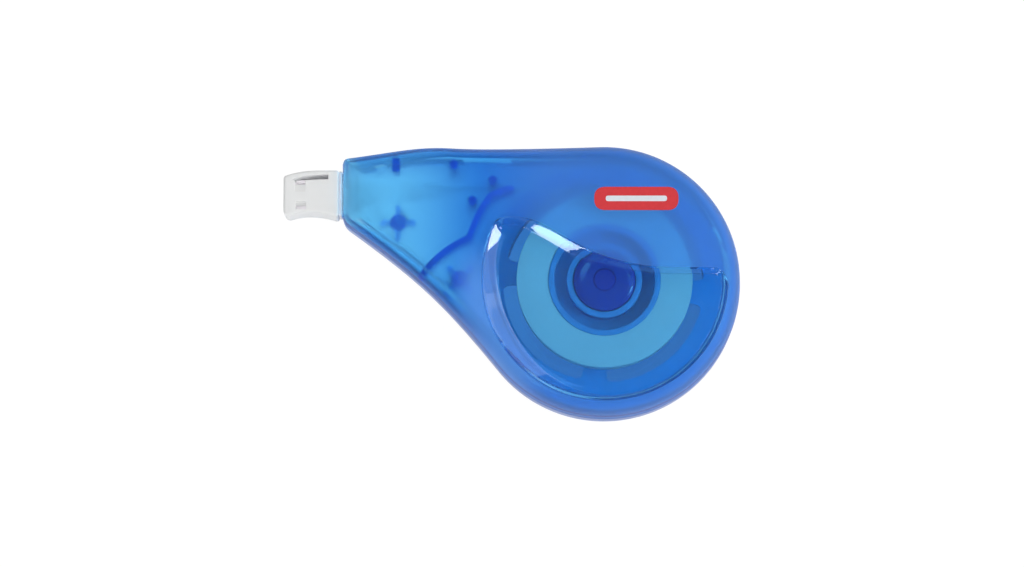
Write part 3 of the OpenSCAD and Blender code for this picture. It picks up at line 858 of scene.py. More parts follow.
@dataclass
class CasingForm:
    """Outline and heights of the casing, by the same rules as its solids."""

    # outline: body arc, nose corners, flank, brow and nape
    case_r: float = 26.8
    body_start: float = 92
    body_end: float = -141
    nose_top: float = 24.6
    nose_low: float = 12
    nose_top_r: float = 1.2
    nose_low_r: float = 3
    least_r: float = 0.3
    low_heading: float = 144
    top_heading: float = 7
    waist: tuple[float, float] = (-30, 26.6)
    waist_heading: float = -4
    flank_pull: float = 17
    brow_pull: float = 9
    waist_pull: float = 7
    body_steps: int = 120
    nose_steps: int = 10
    flank_steps: int = 60
    face_steps: int = 12
    brow_steps: int = 30
    nape_steps: int = 24
    # walls, joint and the mouth's middle
    wall: float = 1.4
    draft: float = 0.1
    seam_gap: float = 0.03
    lip_h: float = 1
    tip_y: float = 17.5
    # rounded edge, and the top's fall towards the nose
    edge_w: float = 3.6
    edge_h: float = 6.2
    side_lean: float = 0.15
    nose_drop: float = 0.3
    crown_x: float = -14
    crown_soft: float = 3
    # dish: its edge and the run of its wall
    rim_w: float = 2.8
    dish_depth: float = 1.7
    dish_slope: float = 1
    dish_flare: float = 2.4
    flare_turn: float = 203
    flare_power: float = 3
    swoosh_flare: float = 1.2
    swoosh_turn: float = 57
    swoosh_power: float = 8
    flare_stop: float = 1
    flare_fade: float = 7
    lobe_turn: float = 156
    right_turn: float = 4
    lobe: tuple[float, float] = (-17.4, 11.9)
    swoosh: tuple[float, float] = (14, 2)
    swoosh_pull: tuple[float, float] = (8.4, 20)
    dish_corner: float = 2.6
    rim_steps: int = 100
    lobe_steps: int = 24
    swoosh_steps: int = 60
    ledge_steps: int = 14
    right_steps: int = 20
    # rays from a middle in the dish, and the table of insets along them
    middle: tuple[float, float] = (-3, -6)
    least_turn: float = 0.1
    inset_step: float = 0.15
    inset_rows: int = 44
    # clear neck and the band of tint at its edge: the band stands for thicker walls, and the deep tint's fall along
    # the neck is partly thicker walls and partly painted shade
    neck_x: float = -22
    neck_run: float = 22
    band_in: float = 0.6
    band_run: float = 2.6
    nose_clear: float = 1.5

    def __post_init__(self) -> None:
        """Read the levels from the frame and make the columns and the table of insets."""
        low, high = node_box("front_shell")
        self.nose_x = float(low[0])
        self.part_z = float(low[2])
        self.top_z = float(high[2])
        self.dish_z = self.top_z - self.dish_depth
        self.ceiling_z = self.dish_z - self.wall
        turns = np.concatenate([self.turns(self.outline(0)), self.turns(self.dish())])
        turns = np.sort(turns % TAU)
        gaps = np.diff(turns, append=turns[0] + TAU)
        self.columns = turns[gaps > math.radians(self.least_turn)]
        self.rays = np.stack([np.cos(self.columns), np.sin(self.columns)], axis=1)
        self.table = np.stack([self.reach(self.outline(i * self.inset_step)) for i in range(self.inset_rows)])

    def outline(self, inset: float) -> Points:
        """Casing outline, clockwise: body arc, flank, nose corners, brow and nape, drawn in by an inset.

        Args:
            inset: distance inside the outer wall.

        Returns:
            Points of the closed outline.
        """
        inner = heading(self.low_heading - 90)
        top_v = np.array([self.nose_x + inset, self.nose_top - inset])
        low_v = np.array([self.nose_x + inset, self.nose_low + inset * (1 - inner[0]) / inner[1]])
        body = (self.case_r - inset) * heading(np.linspace(self.body_start, self.body_end, self.body_steps + 1))
        low = corner(low_v, self.low_heading, 90, max(self.nose_low_r - inset, self.least_r), self.nose_steps)
        top = corner(top_v, 90, self.top_heading, max(self.nose_top_r - inset, self.least_r), self.nose_steps)
        waist = np.array(self.waist) - [0, inset]
        flank = sweep(body[-1], self.body_end - 90, self.flank_pull,
                      low[0], self.low_heading, self.flank_pull, self.flank_steps)
        face = straight(low[-1], top[0], self.face_steps)
        brow = sweep(top[-1], self.top_heading, self.brow_pull,
                     waist, self.waist_heading, self.waist_pull, self.brow_steps)
        nape = sweep(waist, self.waist_heading, self.waist_pull,
                     body[0], self.body_start - 90, self.waist_pull, self.nape_steps)
        return np.concatenate([body, flank[1:], low[1:], face[1:], top[1:], brow[1:], nape[1:-1]])

    def dish(self) -> Points:
        """Upper edge of the window dish, clockwise: rim arc, lobe corner, swoosh, ledge and right corner.

        Returns:
            Points of the closed edge.
        """
        radius = self.case_r - self.rim_w
        rim = radius * heading(np.linspace(-self.right_turn, self.lobe_turn - 360, self.rim_steps + 1))
        lobe = np.array(self.lobe)
        swoosh = np.array(self.swoosh)
        ledge = np.array([radius - self.dish_corner, swoosh[1]])
        rise = sweep(rim[-1], self.lobe_turn - 90, self.dish_corner, lobe, 0, self.dish_corner, self.lobe_steps)
        fall = sweep(lobe, 0, self.swoosh_pull[0], swoosh, 0, self.swoosh_pull[1], self.swoosh_steps)
        flat = straight(swoosh, ledge, self.ledge_steps)
        pull = self.dish_corner / 2
        turn = sweep(ledge, 0, pull, rim[0], -90 - self.right_turn, pull, self.right_steps)
        return np.concatenate([rim, rise[1:], fall[1:], flat[1:], turn[1:-1]])

    def dish_floor(self) -> Points:
        """Foot of the dish's wall: the edge moved in by a run that grows at the lower left and under the swoosh.

        Returns:
            One point for each point of the edge.
        """
        edge = self.dish()
        out = normals(edge)
        low = np.maximum(out @ heading(self.flare_turn), 0) ** self.flare_power
        high = np.maximum(out @ heading(self.swoosh_turn), 0) ** self.swoosh_power
        fade = np.clip((self.flare_stop - edge[:, 0]) / self.flare_fade, 0, 1)
        run = self.dish_slope + self.dish_flare * low + self.swoosh_flare * high * fade
        return edge - run[:, None] * out

    def turns(self, outline: Points) -> Points:
        """Angles of an outline's points about the middle of the dish."""
        x, y = (outline - self.middle).T
        return np.arctan2(y, x)

    def reach(self, outline: Points) -> Points:
        """Distance from the middle to an outline along each column's ray, read between the outline's points."""
        distance = np.linalg.norm(outline - self.middle, axis=1)
        return np.interp(self.columns, self.turns(outline), distance, period=TAU)

    def inset_reach(self, inset: Union[float, Points]) -> Points:
        """Distance along each ray to the outline at an inset, read from the table of insets.

        Args:
            inset: one inset, or one for each column.

        Returns:
            One distance for each column.
        """
        step = np.broadcast_to(np.asarray(inset, float), self.columns.shape) / self.inset_step
        row = np.clip(step.astype(int), 0, self.inset_rows - 2)
        column = np.arange(len(self.columns))
        low = self.table[row, column]
        return low + (step - row) * (self.table[row + 1, column] - low)

    def inset_at(self, reach: Points) -> Points:
        """Inset at a distance along each ray, the inverse of inset_reach, held at the table's end.

        Args:
            reach: one distance for each column.

        Returns:
            One inset for each column.
        """
        row = np.clip((self.table > reach).sum(axis=0) - 1, 0, self.inset_rows - 2)
        column = np.arange(len(self.columns))
        near = self.table[row, column]
        share = (near - reach) / (near - self.table[row + 1, column])
        return self.inset_step * (row + np.clip(share, 0, 1))

    def taper(self, x: Points, z: Union[float, Points]) -> Points:
        """Height lowered towards the nose: z above the parting plane times 1 - drop * way past the crown.

        Args:
            x: places along X.
            z: heights before the taper.

        Returns:
            The lowered heights.
        """
        way = self.crown_x - x
        past = (way + np.sqrt(way * way + self.crown_soft**2)) / 2
        return self.part_z + (z - self.part_z) * (1 - self.nose_drop * past / (self.crown_x - self.nose_x))

    def at(self, reach: Points) -> Points:
        """Points at distances along the rays."""
        return np.array(self.middle) + reach[:, None] * self.rays

    def neck(self, x: Points) -> Points:
        """Share of the clear neck: 0 round the reels, rising to 1 at the nose."""
        return ease((self.neck_x - x) / self.neck_run)

    def depth(self, reach: Points) -> Points:
        """Depth of the shoulder's tint: full round the reels and in a band at the edge, none at the nose's end. The
        band stands for thicker walls; the depth round the reels and along the neck is partly thicker walls and
        partly painted shade of the casing's shadow on the floor.

        Args:
            reach: one distance for each column.

        Returns:
            One share for each column.
        """
        inside = ease((self.inset_at(reach) - self.band_in) / self.band_run)
        outer_x = self.at(self.inset_reach(0))[:, 0]
        end = 1 - ease((outer_x - self.nose_x) / self.nose_clear)
        return 1 - np.maximum(inside, end) * self.neck(self.at(reach)[:, 0])

    def near_edge(self, inset: Points) -> Points:
        """How near an inset is to the outer wall: 0 on the flat top, rising to 1 at the foot of the rounded edge."""
        return np.clip((self.edge_w - inset) / (self.edge_w - self.side_lean), 0, 1)

    def level(self, near: Points) -> Points:
        """Height of the untapered top: flat, and a quarter ellipse h (1 - sqrt(1 - n^2)) down near the edge."""
        return self.top_z - self.edge_h * (1 - np.sqrt(1 - near * near))

    def skin(self, points: Points) -> Points:
        """Height of the front's inner skin over plan points, found like the shoulder's height.

        Args:
            points: plan points.

        Returns:
            One height for each point.
        """
        turns = self.turns(points) % TAU
        reach = np.linalg.norm(points - self.middle, axis=1)
        table = np.stack([np.interp(turns, self.columns, row, period=TAU) for row in self.table])
        near = self.near_edge(self.inset_step * np.maximum((table > reach).sum(axis=0) - 1, 0))
        return self.taper(points[:, 0], self.level(near) - self.wall * (1 + near))

    def shoulder(self, reach: Points) -> Points:
        """Height of the front's top at distances along the rays."""
        return self.taper(self.at(reach)[:, 0], self.level(self.near_edge(self.inset_at(reach))))


@dataclass
class Rows:
    """Rows of a shell, each with distances along the rays, heights and values of frost, depth and rim."""

    form: CasingForm
    reaches: list[Points] = field(default_factory=list)
    heights: list[Points] = field(default_factory=list)
    frosts: list[Points] = field(default_factory=list)
    depths: list[Points] = field(default_factory=list)
    rims: list[Points] = field(default_factory=list)

    def add(self, reach: Points, height: Union[float, Points], frost: float, deep: Union[float, Points] = 0,
            rim: Union[float, Points] = 0) -> None:
        """Add one row.

        Args:
            reach: one distance for each column.
            height: one height, or one for each column.
            frost: 1 where it is frosted.
            deep: share of the deep tint, partly painted shade.
            rim: share of the navy rim, the seam and a painted dark outline.
        """
        self.reaches.append(reach)
        pairs = ((self.heights, height), (self.frosts, frost), (self.depths, deep), (self.rims, rim))
        for values, value in pairs:
            values.append(np.broadcast_to(np.asarray(value, float), reach.shape))

    def shape(self) -> Shape:
        """Loft of the rows, closed by a fan at each end.

        Returns:
            The closed shape with its point values.
        """
        flat = np.stack([self.form.at(r) for r in self.reaches])
        made = loft(raised(flat, np.stack(self.heights)), Ends.POLES)
        for key, values in ((FROST, self.frosts), (DEEP_TINT_AND_SHADE, self.depths), (RIM, self.rims)):
            made.values[key] = np.concatenate(values + [[values[0].mean(), values[-1].mean()]])
        return made


@dataclass
class Shells:
    """The two shells of the casing, each one closed grid of rays by rows."""

    form: CasingForm
    crisp: float = 50
    # seam, skirt and the navy of the rim: the dark seam, and a painted dark outline on the skirt and the edge's
    # steep side
    seam_edge: float = 0.12
    skirt_rows: tuple = (0.4, 0.75, 1)
    skirt_rim: float = 0.4
    rear_rim: float = 0.6
    rim_turn: float = 26
    rim_power: int = 4
    # dish and shoulder: rows as shares or counts, and the fillets of the dish's wall
    floor_rows: tuple = (0.3, 0.6, 0.85, 0.95)
    wall_rows: int = 6
    # the dish's wall gets a share of the deep tint and milky body; the lit milky body is painted light where the
    # polished wall would go dark
    wall_deep: float = 0.35
    fillet_steps: int = 6
    foot_in: float = 0.1
    foot_share: float = 0.08
    crest_in: float = 0.3
    crest_share: float = 0.22
    land: float = 0.2
    shoulder_rows: tuple = (0.1, 0.9, 9)
    shoulder_last: float = 0.95
    edge_rows: int = 20
    # inner skin of the front
    ceiling_drop: float = 1.5
    ceiling_r: float = 0.6
    ceiling_soft: float = 0.15
    ceiling_rows: tuple = (0.85, 0.55, 0.25)
    skin_out: float = 0.4
    skin_rows: int = 8
    pocket_in: float = 0.9
    pocket_ramp: float = 1.2
    hollow_rows: int = 18
    least_run: float = 0.1
    # rear face, its quarter round and the floor inside
    rear_edge: float = 1.8
    face_rows: tuple = (0.1, 0.95, 12)
    round_rows: int = 12
    base_r: float = 0.6
    base_soft: float = 0.18
    base_rows: tuple = (1, 0.8, 0.5, 0.25)
    # mouth in the nose: width and height, and how far its cutter reaches in and out
    mouth: tuple[float, float] = (8.06, 5.26)
    mouth_in: float = 2.63
    mouth_out: float = 0.5

    def front_shape(self) -> Shape:
        """Front shell as one closed grid of rays by rows: dish, shoulder, rounded edge, skirt and inner skin.

        The dish wall climbs straight from its foot to the dish's edge, with quadratic curves into the floor and
        the shoulder. The shoulder follows its height rule out to the rounded edge, an ellipse in the angle a with
        inset w - (w - lean) cos a. The inner skin is a ceiling with a hollow under the shoulder.

        Returns:
            The closed shape with its values of frost, depth and rim.
        """
        form = self.form
        rows = Rows(form)
        foot = form.reach(form.dish_floor())
        edge = form.reach(form.dish())
        run = edge - foot
        crest = form.shoulder(edge)
        climb = crest - form.dish_z
        for share in self.floor_rows:
            rows.add(foot * share, form.dish_z, 0)
        t = np.linspace(0, 1, self.fillet_steps + 1)
        fillet = list(zip((1 - t) ** 2, t * t))
        for near, far in fillet:
            reach = foot - near * self.foot_in + far * self.foot_share * run
            rows.add(reach, form.dish_z + far * self.foot_share * climb, 0, self.wall_deep * far)
        for share in np.linspace(self.foot_share, 1 - self.crest_share, self.wall_rows + 1)[1:-1]:
            rows.add(foot + share * run, form.dish_z + share * climb, 0, self.wall_deep)
        land = edge + self.crest_in
        for near, far in fillet:
            reach = edge - near * self.crest_share * run + far * self.crest_in
            level = crest - near * self.crest_share * climb + far * (form.shoulder(land) - crest)
            rows.add(reach, level, far, self.wall_deep * near + far * form.depth(reach))
        start_inset = np.minimum(form.edge_w, form.inset_at(land + self.land))
        start = form.inset_reach(start_inset)
        # the shoulder's rows carry the deep tint, partly painted shade
        for share in (*np.linspace(*self.shoulder_rows), self.shoulder_last):
            reach = land + share * (start - land)
            rows.add(reach, form.shoulder(reach), 1, form.depth(reach))
        first = np.arccos((form.edge_w - start_inset) / (form.edge_w - form.side_lean))
        for share in np.linspace(1, 0, self.edge_rows + 1):
            turn = first * share
            reach = form.inset_reach(form.edge_w - (form.edge_w - form.side_lean) * np.cos(turn))
            level = form.top_z - form.edge_h * (1 - np.sin(turn))
            # painted dark outline: navy on the steep side of the rounded edge
            rim = 1 - ease(turn / math.radians(self.rim_turn))
            rows.add(reach, form.taper(form.at(reach)[:, 0], level), 1, form.depth(reach), rim)
        outer = form.inset_reach(0)
        seam = form.part_z + form.seam_gap
        edge_z = form.taper(form.at(outer)[:, 0], form.top_z - form.edge_h)
        # navy on the skirt is a painted dark outline; at the seam it is the joint
        for share in self.skirt_rows:
            reach = form.inset_reach(form.side_lean * (1 - share))
            rows.add(reach, edge_z + share * (seam + self.seam_edge - edge_z), 1, 1, self.skirt_rim)
        rows.add(form.inset_reach(self.seam_edge), seam, 1, 1, 1)
        rebate = seam + form.lip_h
        rows.add(form.inset_reach(form.wall / 2), seam, 0)
        rows.add(form.inset_reach(form.wall / 2), rebate, 0)
        rows.add(form.inset_reach(form.wall), rebate, 0)
        self.add_ceiling(rows, foot, edge)
        return rows.shape()

    def add_ceiling(self, rows: Rows, foot: Points, edge: Points) -> None:
        """Inner wall and ceiling of the front shell, with a hollow under the shoulder beside the dish's wall.

        Args:
            rows: rows that get the inner skin.
            foot: distances to the foot of the dish's wall.
            edge: distances to the dish's edge.
        """
        form = self.form
        inner = form.inset_reach(form.wall + form.draft)
        inner_x = form.at(inner)[:, 0]
        for drop in (self.ceiling_drop, self.ceiling_r):
            rows.add(inner, form.taper(inner_x, form.ceiling_z - drop), 0)
        near = form.inset_reach(form.wall + form.draft + self.ceiling_soft)
        rows.add(near, form.taper(form.at(near)[:, 0], form.ceiling_z - self.ceiling_soft), 0)
        start = form.inset_reach(form.wall + form.draft + self.ceiling_r)
        beside = np.minimum(edge + self.skin_out, start - self.least_run)
        low = np.minimum(foot + self.skin_out, beside - self.least_run)
        reaches = [start + share * (beside - start) for share in np.linspace(0, 1, self.hollow_rows + 1)]
        reaches += [beside + share * (low - beside) for share in np.linspace(0, 1, self.skin_rows + 1)[1:]]
        for reach in reaches:
            out = ease((start - self.pocket_in - reach) / self.pocket_ramp + 0.5)
            up = np.clip((reach - low) / (beside - low), 0, 1)
            rows.add(reach, form.taper(form.at(reach)[:, 0], form.ceiling_z + form.dish_depth * out * up), 0)
        for share in self.ceiling_rows:
            rows.add(low * share, form.taper(form.at(low * share)[:, 0], form.ceiling_z), 0)

    def rear_shape(self) -> Shape:
        """Rear shell as one closed grid: flat rear face, quarter round, skirt, locating lip and inner floor.

        Returns:
            The closed shape with its values of frost, depth and rim.
        """
        form = self.form
        rows = Rows(form)
        flat = form.inset_reach(self.rear_edge)
        # deep tint on the rear face round the reels and none in the neck, partly painted shade
        for share in np.linspace(*self.face_rows):
            rows.add(flat * share, 0, 1, 1 - form.neck(form.at(flat * share)[:, 0]))
        for turn in np.linspace(0, math.pi / 2, self.round_rows + 1):
            reach = form.inset_reach(self.rear_edge * (1 - math.sin(turn)))
            # painted dark outline on the rear's quarter round
            rim = self.rear_rim * math.sin(turn) ** self.rim_power
            rows.add(reach, self.rear_edge * (1 - math.cos(turn)), 1, form.depth(reach), rim)
        outer = form.inset_reach(0)
        seam = form.part_z - form.seam_gap
        for share in self.skirt_rows:
            rows.add(outer, self.rear_edge + share * (seam - self.seam_edge - self.rear_edge), 1, 1, self.rear_rim)
        rows.add(form.inset_reach(self.seam_edge), seam, 1, 1, 1)
        lip = form.wall / 2 + form.seam_gap
        top = seam + form.lip_h
        rows.add(form.inset_reach(lip), seam, 0)
        rows.add(form.inset_reach(lip), top - self.seam_edge, 0)
        rows.add(form.inset_reach(lip + self.seam_edge), top, 0)
        rows.add(form.inset_reach(form.wall), top, 0)
        rows.add(form.inset_reach(form.wall), form.wall + self.base_r, 0)
        rows.add(form.inset_reach(form.wall + self.base_soft), form.wall + self.base_soft, 0)
        floor = form.inset_reach(form.wall + self.base_r)
        for share in self.base_rows:
            rows.add(floor * share, form.wall, 0)
        return rows.shape()

    def mouth_shape(self) -> Shape:
        """Cutter of the mouth in the nose.

        Returns:
            The closed shape.
        """
        form = self.form
        middle = np.array([form.tip_y, form.part_z])
        half = np.array(self.mouth) / 2
        outline = rectangle(middle - half, middle + half)
        return prism(outline, form.nose_x - self.mouth_out, form.nose_x + self.mouth_in, 0, Axis.X, 1)

    def build(self) -> None:
        """Make both shells and cut the mouth into each."""
        mouth = self.mouth_shape()
        front = Piece("front_casing", FRONT_PLASTIC, "casing", "front_casing", ("front_shell",), self.crisp)
        front.build(self.front_shape(), [mouth])
        rear = Piece("rear_casing", REAR_PLASTIC, "casing", "rear_casing", ("rear_shell",), self.crisp)
        rear.build(self.rear_shape(), [mouth])


@dataclass
class Ribs:
    """Bosses and ribs under the front shell, and the pins and the reel post on the rear shell."""

    form: CasingForm
    # ribs
    rib_t: float = 1.2
    rib_sunk: float = 0.3
    rib_edge: float = 0.15
    wall_rib: tuple[float, float] = (10.7, -3.3)
    wall_rib_t: float = 1.5
    wall_rib_soft: float = 0.3
    # guide rib: from its foot to a cusp, round the reel to a shelf, then a hook to its bulb
    rib_out: float = 0.9
    cusp_turn: float = 163
    shelf_turn: float = 145
    rib_foot: tuple[float, float] = (9.5, 7.4)
    lower_headings: tuple[float, float] = (50, 22)
    lower_pulls: tuple[float, float] = (3.4, 5)
    lower_steps: int = 24
    reel_steps: int = 18
    hook_heading: float = 10
    hook_pulls: tuple[float, float] = (1.2, 1.6)
    hook_steps: int = 15
    bulb_in: float = 1.3
    bulb_turn: float = 135.8
    # bosses
    boss_places: tuple = ((-40.5, 11.5), (-28.3, 0.2))
    boss_turns: tuple = (0, 45)
    boss_arm: float = 3.4
    boss_t: float = 1
    boss_r: float = 1.6
    boss_steps: int = 40
    boss_gap: float = 1.6
    boss_post_r: float = 0.95
    # pins, with places from the bulb
    guide_places: tuple = ((-3.6, 1.8), (-7.6, -2.2), (-11.3, 5))
    guide_r: float = 0.9
    pin_gap: float = 0.4
    pin_root: float = 0.1
    pin_soft: float = 0.2
    pin_steps: int = 32
    # reel post
    post_r: float = 2.6
    pin_r: float = 2.2
    thrust_r: float = 3.76
    thrust_h: float = 0.4
    post_soft: float = 0.25
    post_steps: int = 64

    def rib(self, outline: Points, gap: float) -> Shape:
        """Rib under the front's inner skin: an outline from below the skin up to a gap under it.

        Args:
            outline: plan of the rib.
            gap: distance from the rib's top to the skin, below zero where the rib runs into the wall.

        Returns:
            The closed shape.
        """
        form = self.form
        low = form.part_z + form.lip_h + 2 * form.seam_gap
        insets = np.array([self.rib_edge, 0, 0])
        flat = outline[None] - insets[:, None, None] * normals(outline)[None]
        top = np.maximum(form.skin(outline) - gap, low + 2 * self.rib_edge)
        heights = np.stack([np.full(len(outline), low), np.full(len(outline), low + self.rib_edge), top])
        return loft(raised(flat, heights), Ends.FLAT)

    def cross(self, place: Sequence[float], turn: float) -> Points:
        """Plan of a boss's arms: the larger of two bars at each angle about its middle.

        Args:
            place: plan place of the boss.
            turn: heading of its first arm in degrees.

        Returns:
            Points of the closed outline.
        """
        a = np.radians(np.arange(0.5, 360, 1))
        bars = [np.minimum(self.boss_arm / np.abs(np.cos(a + s)), self.boss_t / 2 / np.abs(np.sin(a + s)))
                for s in (0, math.pi / 2)]
        reach = np.maximum(bars[0], bars[1])
        return np.array(place) + reach[:, None] * heading(np.degrees(a) + turn)

    def bulb(self) -> Points:
        """End of the guide rib that the tape runs over."""
        return (self.form.case_r - self.bulb_in) * heading(self.bulb_turn)

    def rib_plans(self) -> dict[str, Points]:
        """Plans of the bosses' arms and cores, the curved guide rib in two runs and the wall rib.

        Returns:
            Closed outlines by the names of their pieces.
        """
        form = self.form
        radius = form.case_r + self.rib_out
        cusp = radius * heading(self.cusp_turn)
        shelf = radius * heading(self.shelf_turn)
        lower = sweep(cusp - self.rib_foot, self.lower_headings[0], self.lower_pulls[0],
                      cusp, self.lower_headings[1], self.lower_pulls[1], self.lower_steps)
        round_reel = radius * heading(np.linspace(self.cusp_turn, self.shelf_turn, self.reel_steps + 1))
        hook = sweep(shelf, self.shelf_turn - 90, self.hook_pulls[0],
                     self.bulb(), self.hook_heading, self.hook_pulls[1], self.hook_steps)
        foot = np.array([form.nose_x, form.nose_top]) + self.wall_rib
        half = np.array([self.wall_rib_t / 2, 0])
        top = np.array([foot[0], form.nose_top - form.wall / 2])
        plans = {}
        for i, (place, turn) in enumerate(zip(self.boss_places, self.boss_turns), 1):
            plans[f"boss_arms_{i}"] = self.cross(place, turn)
            plans[f"boss_core_{i}"] = circle(self.boss_r, self.boss_steps, place)
        plans["guide_rib_low"] = band(lower, self.rib_t)
        plans["guide_rib_reel"] = band(np.concatenate([round_reel, hook[1:]]), self.rib_t)
        plans["wall_rib"] = rounded(rectangle(foot - half, top + half), self.wall_rib_soft)
        return plans

    def pins(self, places: Sequence[Points], radius: float, tops: Sequence[float]) -> Shape:
        """Round pins that stand on the rear floor.

        Args:
            places: their plan places.
            radius: their radius.
            tops: their heights.

        Returns:
            All of them as one shape.
        """
        base = self.form.wall - self.pin_root
        made = [prism(circle(radius, self.pin_steps, place), base, top, self.pin_soft)
                for place, top in zip(places, tops)]
        return sum(made[1:], made[0])

    def post(self) -> Shape:
        """Stepped reel post with its thrust ring.

        Returns:
            The closed shape.
        """
        seat = node_box("hub_cap")[0][2]
        top = node_box("rear_shell")[1][2]
        floor = self.form.wall
        thrust = floor + self.thrust_h
        soft = self.post_soft
        profile = [(self.thrust_r, floor - self.pin_root), (self.thrust_r, thrust), (self.post_r, thrust),
                   (self.post_r, seat), (self.pin_r, seat), (self.pin_r, top - soft), (self.pin_r - soft, top)]
        return revolve(np.array(profile), Ends.FLAT, self.post_steps)

    def build(self) -> None:
        """Make the ribs, the pins and the post."""
        form = self.form
        finishes = {"boss_arms": ARM_PLASTIC, "boss_core": BOSS_PLASTIC}
        for name, plan in self.rib_plans().items():
            gap = self.boss_gap if name.startswith("boss") else -self.rib_sunk
            finish = next((f for key, f in finishes.items() if name.startswith(key)), RIB_PLASTIC)
            Piece(name, finish, "casing", "front_casing").build(self.rib(plan, gap))
        guides = np.array([self.bulb() + place for place in self.guide_places])
        pins = self.pins(guides, self.guide_r, form.skin(guides) - self.pin_gap)
        bosses = np.array(self.boss_places)
        posts = self.pins(bosses, self.boss_post_r, np.full(len(bosses), form.part_z + form.lip_h))
        Piece("guide_pins", BOSS_PLASTIC, "casing", "rear_casing").build(pins)
        Piece("boss_posts", ARM_PLASTIC, "casing", "rear_casing").build(posts)
        Piece("reel_post", POST_PLASTIC, "casing", "rear_casing").build(self.post())


@dataclass
class Print:
    """Generic print on the shoulder: a bar with round ends and a stroke on it."""

    form: CasingForm
    middle: tuple[float, float] = (6.2, 15.6)
    bar: tuple[float, float] = (16.5, 4.6)
    stroke: tuple[float, float] = (12, 1.1)
    bar_lift: float = 0.01
    stroke_lift: float = 0.06
    ink_t: float = 0.04
    ink_edge: float = 0.01
    round_share: float = 0.48
    round_steps: int = 10
    crisp: float = 30

    def shape(self, size: Sequence[float], lift: float) -> Shape:
        """Layer of ink with round ends.

        Args:
            size: its length and height.
            lift: height of its underside above the shoulder.

        Returns:
            The closed shape.
        """
        half = np.array(size) / 2
        corners = rectangle(np.array(self.middle) - half, np.array(self.middle) + half)
        base = self.form.top_z + lift
        outline = rounded(corners, self.round_share * size[1], self.round_steps)
        return prism(outline, base, base + self.ink_t, self.ink_edge, steps=1)

    def build(self) -> None:
        """Make the bar and the stroke."""
        layers = (("shoulder_print", RED_INK, self.bar, self.bar_lift),
                  ("shoulder_stroke", WHITE_INK, self.stroke, self.stroke_lift))
        for name, ink, size, lift in layers:
            Piece(name, ink, "casing", crisp=self.crisp).build(self.shape(size, lift))


